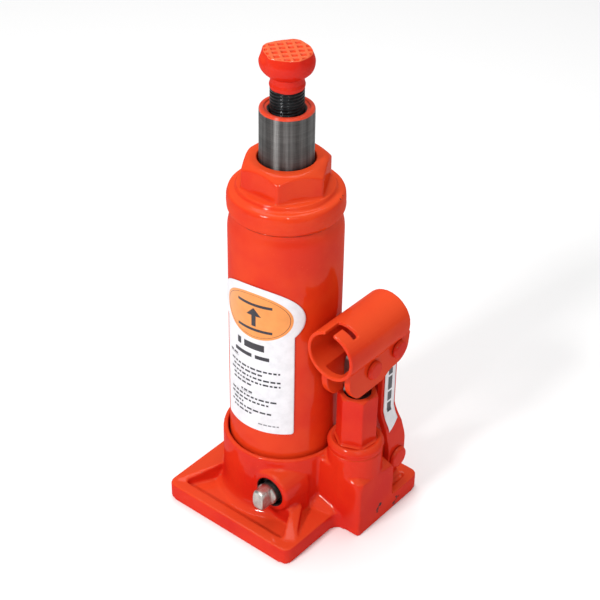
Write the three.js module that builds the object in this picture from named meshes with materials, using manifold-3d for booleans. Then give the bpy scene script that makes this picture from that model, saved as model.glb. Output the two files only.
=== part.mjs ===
// Hydraulic bottle jack, three tonne class, modelled as separate solids.
// Millimetres, +Z up, origin on the ram's axis at the floor. The pump stands at +X,
// and the release valve and the handle socket's mouth face -Y.
// Rest pose: ram and extension screw part-way out, handle socket level at the bottom of its stroke.
import * as THREE from 'three';
import { mergeVertices } from 'three/addons/utils/BufferGeometryUtils.js';
import { ConvexGeometry } from 'three/addons/geometries/ConvexGeometry.js';
import Module from 'manifold-3d';

const wasm = await Module();
wasm.setup();

// ---- Driving dimensions ----

const gap = 0.3;               // between pieces that touch
const slideGap = 0.35;         // between a piece and the bore it slides or turns in

// Reservoir tube
const tubeRadius = 26;
const tubeWall = 2.5;
const tubeTop = 160;
const tubeShoulder = 2.2;      // rounding of the tube's top edge

// Base plate
const plateThickness = 8.9;
const cornerRadius = 5;
const leftMargin = 7.1;        // plate edge beyond the tower
const frontMargin = 15.4;
const backMargin = 11.6;
const rimWidth = 6.2;
const pocketFloor = 5.4;
const frontRightInset = 0.3;   // plate's right edge in front of the block, from the pump's axis

// Tower that holds the tube
const towerWall = 2.3;
const grooveClearance = 1;     // open groove around the tube
const towerTop = 38.3;
const grooveFloor = 29;
const reservoirFloor = 33;
const gasketThickness = 1.2;
const flareHeight = 8;
const flareReach = 4.2;
const towerLip = 1;            // rounding of the tower's rim
const ribHeight = 14.2;        // height of the ribs where they meet the tower
const ribWidth = 5.2;
const ribFoot = 11.6;          // height of the fillet where the plate meets the block
const cornerPocketDepth = 1.6; // shallow pocket behind the lug

// Pump block
const pumpY = 4.8;
const bossRadius = 13;
const bossTop = 43.3;
const blockTop = 31.9;
const blockFront = -7.9;
const blockBack = 19.4;
const cornerCut = 3.2;         // flat cut on the block's front top corner

// Pressure cylinder and ram
const ramRadius = 12;
const pistonStep = 1.6;        // piston beyond the ram, on each side
const cylinderWall = 3.4;
const cylinderSeat = 20;
const cylinderInset = 1;       // cylinder's end below the tube's
const chamberFloor = 15;
const chamberRadius = 9;
const ramExposed = 23.9;       // ram above the nut
const ramRimDepth = 0.8;
const ramRimWidth = 2.25;      // recess in the ram's end, beyond the screw's hole
const pistonBottom = 52;
const pistonHeight = 8;
const ramBoreBottom = 76;
const ramNeckLength = 19;
const cupHeight = 4.5;
const backupHeight = 3;
const studRadius = 5;

// Top nut
const flangeOverhang = 0.2;    // flange beyond the tube
const flangeHeight = 10.2;
const flangeEdge = 3;
const stepInset = 4.2;         // step within the flange
const stepHeight = 2.5;
const hexAcrossFlats = 36;
const hexHeight = 12.6;
const hexVertexAngle = -61;    // direction of one corner, from +X
const ramClearance = 0.85;
const spigotDepth = 9;         // nut's threaded spigot inside the tube
const wiperHeight = 4.4;
const wiperWall = 2;
const wiperLift = 2;           // wiper above the step

// Extension screw and saddle
const screwPitch = 3;
const screwRadius = 7.3;
const screwInside = 67.5;      // screw's length inside the ram
const screwExposed = 9;        // thread showing above the ram
const headHeight = 16.8;
const saddleFace = 11;
const saddleRadius = 11.9;
const waffleCell = 2.3;
const waffleRib = 1.1;
const waffleDepth = 0.9;
const stopRingWidth = 1.6;     // stop ring beyond the screw
const stopRingPlay = 0.4;      // stop ring to the ram's bore
const stopRingHeight = 3;

// Release valve
const valveX = 16;
const valveZ = 22.5;
const valveBossRadius = 10.5;
const valveBossOut = 0.3;      // boss face beyond the tower
const valveBoreRadius = 7.4;
const valveSeatWall = 4.5;     // valve's seat from the pressure chamber
const valveStickOut = 8.1;
const valveRadius = 5.5;
const valveThreadRadius = 6.9;
const valveThreadDepth = 3;    // thread below the boss face
const valveThreadLength = 4;
const valveEndPlay = 0.4;      // thread's end to the bore's end, and needle to its chamber's wall
const needleChamber = 3;       // radius of the bore that the needle and the ball sit in
const valveGrooveDepth = 1;    // front of the seal's groove, behind the thread
const valveGrooveWidth = 2.4;
const valveGrooveRadius = 1.9;
const valveFlats = 6;
const valveFlatLength = 6;
const valveBallRadius = 2;

// Pump cylinder and plunger
const pumpRingRadius = 13.4;
const pumpRingThickness = 2.6;
const pumpTubeGap = 0.5;       // ring to reservoir tube
const washerThickness = 1;
const pumpPostWall = 0.75;     // post around the gland's recess
const pumpHexTop = 75.1;
const pumpHexVertex = -37.4;
const pumpShankWall = 2.4;     // shank beyond the plunger
const pumpBoreBottom = 18;
const pumpShankSeat = 22;      // floor of the socket that the pump's shank stands in
const plungerRadius = 6;
const plungerBottom = 24;
const plungerGroove = 3;       // height of the seal's groove
const plungerGrooveDepth = 1.6;
const plungerLand = 2;         // rod below the groove
const glandTop = 1.6;          // depth of the gland's recess below the post's top
const glandHeight = 4.4;
const glandWall = 1.1;

// Handle socket, pins and links
const socketAxisZ = 107.1;
const socketRadius = 12.6;
const socketWall = 1.8;
const socketMouth = -17.2;
const socketRear = 25.6;
const earThickness = 3.2;
const earOuter = 8;
const earBack = 32.6;
const rightEarBottom = 80.4;
const leftEarBottom = 76.6;
const slotLead = -10.8;        // front edge of the bayonet slot's turn
const slotTurnWidth = 3.4;
const slotWidth = 4.4;
const slotTurnAngle = 40;
const slotOffset = -0.6;       // slot's middle from the socket's axis, along X
const slotStart = -1.5;        // start of the slot's turn, along X at the wall
const pinRadius = 3;
const headRadius = 4.6;
const headThickness = 2.1;
const lowerHeadRadius = 5.6;
const clipRadius = 4.4;
const clipThickness = 1;
const plungerPinZ = 91.3;
const linkPinY = 23.3;
const linkPinZ = 92.6;
const lugPinY = 28.4;
const lugPinZ = 24.1;
const linkPlay = 1.1;          // play of the links on their upper pin
const eyeRadius = 4.9;
const shoulderDrop = 18.1;     // full round of the rod ends this far below its pin
const linkThickness = 3;
const linkTopHalf = 5.5;
const linkLowHalf = 6.4;
const joggle = 3;
const joggleTop = 55;
const joggleBottom = 45;

// Valves and oil ways
const drillY = 7.3;
const drillZ = 8.3;
const drillRadius = 1.6;
const ballRadius = 2.2;
const valvePocketRadius = 2.9;
const plugRadius = 4;
const plugLength = 5;
const springWire = 0.35;
const pocketDepth = 13;        // relief pocket below the block's right face
const suctionX = -2;           // suction pocket from the pump's axis
const suctionY = -2.5;
const suctionFloor = 13;
const suctionWayZ = 12.4;
const suctionWall = 0.65;      // between the suction rise and the cylinder's socket
const portRadius = 1.4;
const wayRadius = 1.2;
const reliefWayRadius = 1;
const reliefY = -2.6;
const reliefZ = 14;

// Labels and filler plug
const labelThickness = 0.25;
const labelAngle = -82;
const labelHalf = 41.4;        // degrees to each straight edge
const labelHeadHalf = 52;
const labelBottom = 52.5;
const labelHeadZ = 117.5;
const labelHeadHeight = 15.5;
const fillerRadius = 4.5;
const fillerHead = 6;
const fillerHeadThickness = 2;
const fillerInside = 3;        // length of the plug's stem inside the tube
const fillerBelow = 20;        // filler below the tube's top
const linkLabelTop = 82;
const linkLabelBottom = 56;
const linkLabelHalf = 4;

// ---- Sizes that follow ----

const degrees = Math.PI / 180;
const towerRadius = tubeRadius + grooveClearance + towerWall;
const tubeBore = tubeRadius - tubeWall;
const plateLeft = -(towerRadius + leftMargin);
const plateFront = -(towerRadius + frontMargin);
const plateBack = towerRadius + backMargin;
const pumpReach = tubeRadius + pumpTubeGap + pumpRingRadius;
const pumpX = Math.sqrt(pumpReach ** 2 - pumpY ** 2);
const plateRight = pumpX + bossRadius;
const fillerZ = tubeTop - fillerBelow;
const frontRightEdge = pumpX - frontRightInset;
const flangeBottom = tubeTop + gap;
const flangeTop = flangeBottom + flangeHeight;
const flangeRadius = tubeRadius + flangeOverhang;
const stepRadius = flangeRadius - stepInset;
const stepTop = flangeTop + stepHeight;
const hexTop = stepTop + hexHeight;
const wiperBottom = stepTop + wiperLift;
const pistonRadius = ramRadius + pistonStep;
const ramTop = hexTop + ramExposed;
const cylinderTop = tubeTop - cylinderInset;
const cylinderBore = pistonRadius + slideGap;
const cylinderRadius = cylinderBore + cylinderWall;
const tubeBottom = grooveFloor + gasketThickness + 2 * gap;
const suctionRise = cylinderRadius + gap + wayRadius + suctionWall;
const screwBottom = ramTop - screwInside;
const beadBottom = ramTop + screwExposed;
const saddleTop = beadBottom + headHeight;
const stopRingRadius = screwRadius + stopRingWidth;
const ramBoreRadius = stopRingRadius + stopRingPlay;
const ramNeckRadius = screwRadius + slideGap;
const ramRimRadius = ramNeckRadius + ramRimWidth;
const ramNeckBottom = ramTop - ramRimDepth - ramNeckLength;
const earInner = earOuter - earThickness;
const linkUpperX = earInner - gap - linkThickness;
const linkLowerX = linkUpperX + joggle;
const lugHalf = linkLowerX - gap;
const pumpRingBottom = bossTop + washerThickness + 2 * gap;
const pumpRingTop = pumpRingBottom + pumpRingThickness;
const socketBore = socketRadius - socketWall;
const valvePocketX = pumpX - 3;
const valveBossFace = -(towerRadius + valveBossOut);
const valveEnd = valveBossFace - valveStickOut;
const valveThreadY = valveBossFace + valveThreadDepth;
const valveSeatY = -(chamberRadius + valveSeatWall);
const valveGrooveY = valveThreadY + valveThreadLength + valveGrooveDepth;
const pumpHexFlats = 2 * (plungerRadius + slideGap + glandWall + gap + pumpPostWall);
const pumpShankRadius = plungerRadius + pumpShankWall;

// ---- Solids ----

/** Closed three.js geometry to a manifold solid. */
function solid(geometry) {
  const plain = geometry.clone();
  plain.deleteAttribute('normal');
  plain.deleteAttribute('uv');
  const merged = mergeVertices(plain, 1e-4);
  const mesh = new wasm.Mesh({
    numProp: 3,
    vertProperties: new Float32Array(merged.attributes.position.array),
    triVerts: new Uint32Array(merged.index.array),
  });
  return new wasm.Manifold(mesh);
}

/** Manifold solid back to a three.js geometry. */
function geometryOf(body) {
  const mesh = body.getMesh();
  const geometry = new THREE.BufferGeometry();
  geometry.setAttribute('position', new THREE.BufferAttribute(mesh.vertProperties, 3));
  geometry.setIndex(new THREE.BufferAttribute(mesh.triVerts, 1));
  geometry.computeVertexNormals();
  return geometry;
}

const join = (...bodies) => bodies.reduce((whole, body) => whole.add(body));
const cut = (body, ...tools) => tools.reduce((whole, tool) => whole.subtract(tool), body);

/** Profile of [radius, height] points, anticlockwise in (radius, height), turned about +Z. */
function turned(profile, segments = 28) {
  const points = profile.map(([r, z]) => new THREE.Vector2(r, z));
  const geometry = new THREE.LatheGeometry(points, segments);
  geometry.rotateX(Math.PI / 2);
  return solid(geometry);
}

/** Solid of revolution between two heights. */
function disc(radius, bottom, top, segments = 28) {
  return turned([[0, bottom], [radius, bottom], [radius, top], [0, top]], segments);
}

/** Ring with a plain rectangular section. */
function ring(inner, outer, bottom, top, segments = 28) {
  const section = [[inner, bottom], [outer, bottom], [outer, top], [inner, top], [inner, bottom]];
  return turned(section, segments);
}

/** Outline in the floor plane, raised from one height to another. */
function prism(shape, bottom, top, curveSegments = 8) {
  const geometry = new THREE.ExtrudeGeometry(shape, {
    depth: top - bottom, bevelEnabled: false, curveSegments,
  });
  geometry.translate(0, 0, bottom);
  return solid(geometry);
}

/** Outline in the YZ plane, extruded between two values of X. */
function sidePrism(shape, left, right, curveSegments = 8) {
  const geometry = new THREE.ExtrudeGeometry(shape, {
    depth: right - left, bevelEnabled: false, curveSegments,
  });
  geometry.rotateX(Math.PI / 2);
  geometry.rotateZ(Math.PI / 2);
  geometry.translate(left, 0, 0);
  return solid(geometry);
}

/** Outline in the XZ plane, extruded between two values of Y. */
function frontPrism(shape, front, back, curveSegments = 8) {
  const geometry = new THREE.ExtrudeGeometry(shape, {
    depth: back - front, bevelEnabled: false, curveSegments,
  });
  geometry.rotateX(Math.PI / 2);
  geometry.translate(0, back, 0);
  return solid(geometry);
}

/** Closed outline through points, each corner rounded by its own radius. */
function rounded(points, radii) {
  const shape = new THREE.Shape();
  points.forEach(([x, y], i) => {
    const corner = new THREE.Vector2(x, y);
    const before = new THREE.Vector2(...points[(i + points.length - 1) % points.length]);
    const after = new THREE.Vector2(...points[(i + 1) % points.length]);
    const radius = Array.isArray(radii) ? radii[i] : radii;
    const from = before.sub(corner).normalize().multiplyScalar(radius).add(corner);
    const to = after.sub(corner).normalize().multiplyScalar(radius).add(corner);
    if (i === 0) shape.moveTo(from.x, from.y);
    else shape.lineTo(from.x, from.y);
    if (radius > 0) shape.quadraticCurveTo(x, y, to.x, to.y);
  });
  shape.closePath();
  return shape;
}

function box(low, high) {
  const size = high.map((value, i) => value - low[i]);
  const geometry = new THREE.BoxGeometry(...size);
  geometry.translate(...low.map((value, i) => value + size[i] / 2));
  return solid(geometry);
}

function hull(points) {
  return solid(new ConvexGeometry(points.map((point) => new THREE.Vector3(...point))));
}

function circle(x, y, radius) {
  const shape = new THREE.Shape();
  shape.absarc(x, y, radius, 0, 2 * Math.PI, false);
  return shape;
}

/** Round bar along X, centred on (y, z). */
function barX(radius, y, z, left, right, segments = 20) {
  return disc(radius, left, right, segments).rotate([0, 90, 0]).translate([0, y, z]);
}

/** Round bar along Y, centred on (x, z). */
function barY(radius, x, z, front, back, segments = 20) {
  return disc(radius, -back, -front, segments).rotate([90, 0, 0]).translate([x, 0, z]);
}

function ball(radius, x, y, z) {
  return solid(new THREE.SphereGeometry(radius, 12, 8)).translate([x, y, z]);
}

function hexagon(acrossFlats, vertexAngle) {
  const reach = acrossFlats / Math.sqrt(3);
  const points = Array.from({ length: 6 }, (_, i) => {
    const angle = (vertexAngle + 60 * i) * degrees;
    return new THREE.Vector2(reach * Math.cos(angle), reach * Math.sin(angle));
  });
  return new THREE.Shape(points);
}

/** Compression spring along +Z: a wire swept on a helix. */
function spring(radius, length, turns) {
  class Helix extends THREE.Curve {
    getPoint(t, target = new THREE.Vector3()) {
      const angle = 2 * Math.PI * turns * t;
      return target.set(radius * Math.cos(angle), radius * Math.sin(angle), length * t);
    }
  }
  const section = new THREE.Shape();
  section.absarc(0, 0, springWire, 0, 2 * Math.PI, false);
  const geometry = new THREE.ExtrudeGeometry(section, {
    steps: turns * 10, extrudePath: new Helix(), bevelEnabled: false, curveSegments: 3,
  });
  return solid(geometry);
}

// ---- Materials ----

const finish = (color, roughness, metalness) =>
  new THREE.MeshStandardMaterial({ color, roughness, metalness });
const paint = () => finish('#e03a22', 0.3, 0.1);
const steel = () => finish('#b9b9bb', 0.3, 1);
const zinc = () => finish('#a5a39e', 0.4, 1);
const blackSteel = () => finish('#1d1c1d', 0.45, 0.8);
const castSteel = () => finish('#77767a', 0.5, 1);
const copper = () => finish('#b5673c', 0.4, 1);
const rubber = () => finish('#1a1a1a', 0.8, 0);
const paper = () => finish('#efecee', 0.4, 0);

const jack = new THREE.Group();

function place(name, body, material) {
  const mesh = new THREE.Mesh(geometryOf(body), material);
  mesh.name = name;
  jack.add(mesh);
}

// ---- Base casting ----

function plate() {
  const outline = rounded([
    [plateLeft, plateFront],
    [frontRightEdge, plateFront],
    [frontRightEdge, blockFront],
    [plateRight, blockFront],
    [plateRight, plateBack],
    [plateLeft, plateBack],
  ], [cornerRadius, cornerRadius, cornerRadius, 1.5, cornerRadius, cornerRadius]);
  return prism(outline, 0, plateThickness, 5);
}

function pockets() {
  const inner = towerRadius * 0.66;
  const front = prism(rounded([
    [plateLeft + rimWidth, plateFront + rimWidth],
    [frontRightEdge - 1.3 * rimWidth, plateFront + rimWidth],
    [inner + 3.4, -inner],
    [-inner, -inner],
  ], 1.5), pocketFloor, ribHeight + 1, 4);
  const back = prism(rounded([
    [plateLeft + rimWidth, plateBack - rimWidth],
    [-inner, inner],
    [inner, inner],
    [pumpX - lugHalf - 2, plateBack - rimWidth],
  ], 1.5), pocketFloor, ribHeight + 1, 4);
  const corner = prism(rounded([
    [pumpX + lugHalf + 2, blockBack + 1],
    [plateRight - rimWidth / 1.5, blockBack + 1],
    [plateRight - rimWidth / 1.5, plateBack - rimWidth],
    [pumpX + lugHalf + 2, plateBack - rimWidth],
  ], 1), plateThickness - cornerPocketDepth, ribHeight + 1, 4);
  return join(front, back, corner);
}

function ribs() {
  const reach = towerRadius * 0.72;
  const left = hull([
    [plateLeft + 1, plateFront + 3, 1],
    [plateLeft + 1, plateFront + 3, plateThickness],
    [plateLeft + rimWidth, plateFront + rimWidth - 1, plateThickness],
    [-reach, -reach, ribHeight],
    [-reach, -reach, 1],
    [plateLeft + 0.4, -reach, plateThickness],
    [plateLeft + 0.4, reach, plateThickness],
    [-reach, reach, ribHeight],
    [plateLeft + rimWidth, plateBack - rimWidth + 1, plateThickness],
    [plateLeft + 1, plateBack - 3, plateThickness],
    [plateLeft + 1, plateBack - 3, 1],
  ]);
  const frontEnd = frontRightEdge - 3.9;
  const right = hull([
    [frontEnd, plateFront + 5, 1],
    [frontEnd - ribWidth / 2, plateFront + 5, plateThickness],
    [frontEnd + ribWidth / 2, plateFront + 8.3, plateThickness],
    [reach + 5.5, -reach, 1],
    [reach + 3.2, -reach - 3.2, ribHeight + 1],
    [reach + 7.2, -reach + 1.2, ribHeight + 0.6],
    [reach, -reach, ribHeight + 3],
    [reach, -reach + 4, 1],
  ]);
  const foot = hull([
    [reach, blockFront + 4, 1],
    [frontRightEdge - 1, blockFront + 4, 1],
    [frontRightEdge - 1, blockFront - 4, 1],
    [frontRightEdge - 1, blockFront - 4, plateThickness],
    [frontRightEdge, blockFront + 1, ribFoot],
    [reach + 4, blockFront - 7, plateThickness],
    [reach + 3, blockFront, ribFoot + 4],
  ]);
  return join(left, right, foot);
}

function tower() {
  const profile = [
    [0, 0.5],
    [towerRadius + flareReach, 0.5],
    [towerRadius + flareReach, pocketFloor],
    [towerRadius + flareReach * 0.4, pocketFloor + flareHeight * 0.3],
    [towerRadius + flareReach * 0.1, pocketFloor + flareHeight * 0.65],
    [towerRadius, pocketFloor + flareHeight],
    [towerRadius, towerTop - towerLip],
    [towerRadius - towerLip * 0.3, towerTop - towerLip * 0.3],
    [towerRadius - towerLip, towerTop],
    [0, towerTop],
  ];
  return turned(profile, 44);
}

function pumpBlock() {
  const top = towerTop - 1.5;
  const body = hull([
    [towerRadius * 0.8, blockFront, 0],
    [plateRight - cornerCut, blockFront, 0],
    [plateRight, blockFront + 1.5, 0],
    [plateRight, blockBack, 0],
    [towerRadius * 0.8, blockBack, 0],
    [towerRadius * 0.9, blockFront, top],
    [pumpX - 4, blockFront, blockTop + 3],
    [plateRight - 1.2, blockFront, blockTop - 4],
    [plateRight - cornerCut, blockFront, blockTop - 0.6],
    [plateRight - cornerCut, blockFront + cornerCut, blockTop + 1],
    [plateRight, blockFront + cornerCut, blockTop - 1],
    [plateRight, blockFront + 1.5, blockTop - 4],
    [plateRight, blockBack - 2, blockTop - 3],
    [plateRight, blockBack, blockTop - 6],
    [pumpX, blockBack, blockTop - 1],
    [towerRadius * 0.9, blockBack - 2, top],
    [pumpX, pumpY, blockTop + 4],
  ]);
  const boss = disc(bossRadius, 5, bossTop, 24).translate([pumpX, pumpY, 0]);
  return join(body, boss);
}

function valveBoss() {
  const round = turned([
    [0, 0],
    [valveBossRadius - 1, 0],
    [valveBossRadius - 0.3, 0.3],
    [valveBossRadius, 1],
    [valveBossRadius + 1.5, -valveBossFace - 14],
    [0, -valveBossFace - 14],
  ], 24).rotate([-90, 0, 0]).translate([valveX, valveBossFace, valveZ]);
  const web = hull([
    [valveX - valveBossRadius - 1, valveBossFace + 3, 1],
    [valveX + valveBossRadius + 1, valveBossFace + 3, 1],
    [valveX - valveBossRadius, valveBossFace + 2.5, valveZ - 8],
    [valveX + valveBossRadius, valveBossFace + 2.5, valveZ - 8],
    [valveX - valveBossRadius, -14, valveZ],
    [valveX + valveBossRadius, -14, valveZ],
    [valveX - valveBossRadius - 1, -14, 1],
    [valveX + valveBossRadius + 1, -14, 1],
  ]);
  return join(round, web);
}

function lug() {
  const shape = rounded([
    [lugPinY - 6, plateThickness / 2],
    [lugPinY + 6.4, plateThickness / 2],
    [lugPinY + 6, lugPinZ + 6],
    [lugPinY - 6, lugPinZ + 6],
  ], [0, 0, 5.6, 5.6]);
  return sidePrism(shape, pumpX - lugHalf, pumpX + lugHalf, 6);
}

function oilWays() {
  const seatFront = plateRight - plugLength;
  const seatEnd = plateRight + 1;
  const feedX = pumpX + suctionX;
  const feedY = pumpY + suctionY;
  const delivery = barX(drillRadius, drillY, drillZ, portRadius, seatFront, 16);
  const deliveryPocket = barX(valvePocketRadius, drillY, drillZ, valvePocketX, seatEnd, 20);
  const plugSeat = barX(plugRadius + gap, drillY, drillZ, seatFront, seatEnd, 24);
  const pumpPort = disc(portRadius, drillZ, pumpBoreBottom + 1, 16).translate([pumpX, drillY, 0]);
  const chamberPort = disc(portRadius, drillZ, chamberFloor + 1, 16).translate([4, drillY, 0]);
  const suctionPocket = disc(valvePocketRadius, suctionFloor, pumpBoreBottom + 1, 20)
    .translate([feedX, feedY, 0]);
  const suctionWay = barX(wayRadius, feedY, suctionWayZ, suctionRise, feedX + 1, 16);
  const suctionDrop = disc(wayRadius, suctionWayZ, reservoirFloor + 1, 16)
    .translate([suctionRise, feedY, 0]);
  const returnWay = disc(reliefWayRadius, valveZ, reservoirFloor + 1, 16)
    .translate([valveX - wayRadius, valveSeatY - 2, 0]);
  const releaseX = valveX - 7;
  const releaseZ = chamberFloor + 1.2;
  const releaseWay = barY(reliefWayRadius, releaseX, releaseZ, valveSeatY - 4.5, -4, 16);
  const releaseDrop = hull([
    [releaseX - 1, valveSeatY - 1, releaseZ - 0.8],
    [releaseX + 1, valveSeatY - 1, releaseZ - 0.8],
    [releaseX, valveSeatY + 1, releaseZ - 0.8],
    [valveX - 1, valveSeatY - 1, valveZ],
    [valveX + 1, valveSeatY - 1, valveZ],
    [valveX, valveSeatY + 1, valveZ],
  ]);
  const reliefX = pumpX - 3;
  const pocketFrom = plateRight - pocketDepth;
  const reliefPocket = barX(valvePocketRadius, reliefY, reliefZ, pocketFrom, seatEnd, 20);
  const reliefSeat = barX(plugRadius + gap, reliefY, reliefZ, seatFront, seatEnd, 24);
  const reliefWay = barX(reliefWayRadius, reliefY, reliefZ, reliefX - 3, pocketFrom + 1, 12);
  const reliefDrop = disc(reliefWayRadius, reliefZ, pumpBoreBottom + 1, 12)
    .translate([reliefX, pumpY - 3.2, 0]);
  const reliefLink = barY(reliefWayRadius, reliefX, reliefZ, reliefY - 0.5, pumpY - 3, 12);
  return join(
    delivery, deliveryPocket, plugSeat, pumpPort, chamberPort, suctionPocket, suctionWay,
    suctionDrop, returnWay, releaseWay, releaseDrop, reliefPocket, reliefSeat, reliefWay,
    reliefDrop, reliefLink,
  );
}

function baseCasting() {
  const webs = cut(ribs(), box([-60, -60, -1], [60, 60, 0.6]));
  const flat = cut(join(plate(), webs), pockets());
  const body = join(flat, tower(), pumpBlock(), valveBoss(), lug());
  const reservoir = disc(tubeRadius + grooveClearance, reservoirFloor, towerTop + 8, 44);
  const groove = ring(
    tubeBore - gap, tubeRadius + grooveClearance, grooveFloor, towerTop, 44,
  );
  const cylinderSocket = disc(cylinderRadius + gap, cylinderSeat, reservoirFloor + 1);
  const chamber = disc(chamberRadius, chamberFloor, cylinderSeat + 1, 24);
  const pumpBore = disc(pumpShankRadius + gap, pumpShankSeat, bossTop + 5, 24)
    .translate([pumpX, pumpY, 0]);
  const pumpChamber = disc(plungerRadius, pumpBoreBottom, pumpShankSeat + 1, 24)
    .translate([pumpX, pumpY, 0]);
  const valveBoreEnd = valveThreadY + valveThreadLength + valveEndPlay;
  const valveBore = barY(valveBoreRadius, valveX, valveZ, valveBossFace - 1, valveBoreEnd, 24);
  const valveSeat = barY(needleChamber, valveX, valveZ, valveThreadY, valveSeatY, 20);
  const pinHole = barX(pinRadius + slideGap, lugPinY, lugPinZ, pumpX - 10, pumpX + 10);
  return cut(
    body, reservoir, groove, cylinderSocket, chamber, pumpBore, pumpChamber,
    valveBore, valveSeat, pinHole, oilWays(),
  );
}

place('base_casting', baseCasting(), paint());

// ---- Reservoir tube, gaskets and top nut ----

function reservoirTube() {
  const inner = tubeBore;
  const wall = turned([
    [inner, tubeBottom],
    [tubeRadius, tubeBottom],
    [tubeRadius, tubeTop - tubeShoulder * 2],
    [tubeRadius - tubeShoulder * 0.12, tubeTop - tubeShoulder],
    [tubeRadius - tubeShoulder * 0.4, tubeTop - tubeShoulder * 0.35],
    [tubeRadius - tubeShoulder * 0.7, tubeTop],
    [inner, tubeTop],
    [inner, tubeBottom],
  ], 44);
  return cut(wall, barY(fillerRadius + gap, 0, fillerZ, tubeRadius / 2, tubeRadius + 4, 24));
}

function topNut() {
  const hole = ramRadius + ramClearance;
  const spigot = tubeBore - gap;
  const flange = turned([
    [hole, flangeBottom],
    [flangeRadius - 0.9, flangeBottom],
    [flangeRadius, flangeBottom + 1.2],
    [flangeRadius, flangeTop - flangeEdge],
    [flangeRadius - flangeEdge * 0.3, flangeTop - flangeEdge * 0.3],
    [flangeRadius - flangeEdge, flangeTop],
    [stepRadius + 0.8, flangeTop],
    [stepRadius, flangeTop + 0.8],
    [stepRadius, stepTop - 0.6],
    [stepRadius - 0.6, stepTop],
    [hole, stepTop],
    [hole, flangeBottom],
  ], 44);
  const reach = hexAcrossFlats / Math.sqrt(3);
  const chamfer = turned([
    [0, stepTop - 1],
    [reach + 1, stepTop - 1],
    [reach + 1, hexTop - 3.2],
    [hexAcrossFlats / 2 - 0.9, hexTop - 0.4],
    [hexAcrossFlats / 2 - 2.2, hexTop],
    [0, hexTop],
  ], 44);
  const hex = prism(hexagon(hexAcrossFlats, hexVertexAngle), stepTop - 1, hexTop + 1).intersect(chamfer);
  const skirt = disc(spigot, flangeBottom - spigotDepth, flangeBottom + 1, 44);
  const wiperRecess = disc(hole + wiperWall, wiperBottom - gap, wiperBottom + wiperHeight + gap);
  const cylinderSeatTop = disc(cylinderRadius + gap, flangeBottom - spigotDepth - 1, cylinderTop + gap);
  const gasketRecess = ring(
    spigot - 0.1, tubeRadius - 0.6, flangeBottom - 0.5, flangeBottom + gasketThickness + gap, 44,
  );
  const body = join(cut(join(flange, skirt), gasketRecess), hex);
  return cut(body, disc(hole, flangeBottom - spigotDepth - 1, hexTop + 1), wiperRecess, cylinderSeatTop);
}

place('reservoir_tube', reservoirTube(), paint());
place('lower_gasket', ring(
  tubeBore, tubeRadius + 0.4, grooveFloor + gap, grooveFloor + gap + gasketThickness,
), rubber());
place('upper_gasket', ring(
  tubeBore, tubeRadius - 0.9, flangeBottom, flangeBottom + gasketThickness,
), rubber());
place('top_nut', topNut(), paint());
place('ram_wiper', ring(
  ramRadius + slideGap, ramRadius + ramClearance + wiperWall - gap,
  wiperBottom, wiperBottom + wiperHeight,
), rubber());

// ---- Pressure cylinder, ram and its seal ----

const cylinderBottom = cylinderSeat + gasketThickness + 2 * gap;
place('cylinder_gasket', ring(
  cylinderBore + 0.5, cylinderRadius - 0.4, cylinderSeat + gap, cylinderSeat + gap + gasketThickness,
), copper());
place('pressure_cylinder', ring(cylinderBore, cylinderRadius, cylinderBottom, cylinderTop), castSteel());

function ram() {
  const rimBottom = ramTop - ramRimDepth;
  const outside = turned([
    [0, pistonBottom],
    [pistonRadius, pistonBottom],
    [pistonRadius, pistonBottom + pistonHeight],
    [ramRadius, pistonBottom + pistonHeight],
    [ramRadius, ramTop - 1],
    [ramRadius - 0.3, ramTop - 0.3],
    [ramRadius - 1, ramTop],
    [0, ramTop],
  ]);
  const stud = disc(studRadius, pistonBottom - cupHeight - backupHeight - 1, pistonBottom + 1, 24);
  return cut(
    join(outside, stud),
    disc(ramBoreRadius, ramBoreBottom, ramNeckBottom, 24),
    disc(ramNeckRadius, ramNeckBottom - 1, ramTop + 1, 24),
    turned([
      [0, rimBottom - 1.2],
      [ramNeckRadius, rimBottom - 1.2],
      [ramNeckRadius + 0.7, rimBottom],
      [ramRimRadius, rimBottom],
      [ramRimRadius, ramTop + 1],
      [0, ramTop + 1],
    ], 24),
  );
}

place('ram', ram(), steel());
place('ram_cup_seal', turned([
  [studRadius + gap, pistonBottom - gap - cupHeight],
  [pistonRadius - 2, pistonBottom - gap - cupHeight],
  [pistonRadius - 1.5, pistonBottom - gap - cupHeight * 0.5],
  [pistonRadius - 0.8, pistonBottom - gap - cupHeight],
  [pistonRadius, pistonBottom - gap - cupHeight],
  [pistonRadius, pistonBottom - gap],
  [studRadius + gap, pistonBottom - gap],
  [studRadius + gap, pistonBottom - gap - cupHeight],
]), rubber());
place('ram_seal_nut', ring(
  studRadius + gap, pistonRadius - 3,
  pistonBottom - cupHeight - backupHeight - gap, pistonBottom - cupHeight - 2 * gap, 32,
), castSteel());

// ---- Extension screw, its stop ring and saddle ----

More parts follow.
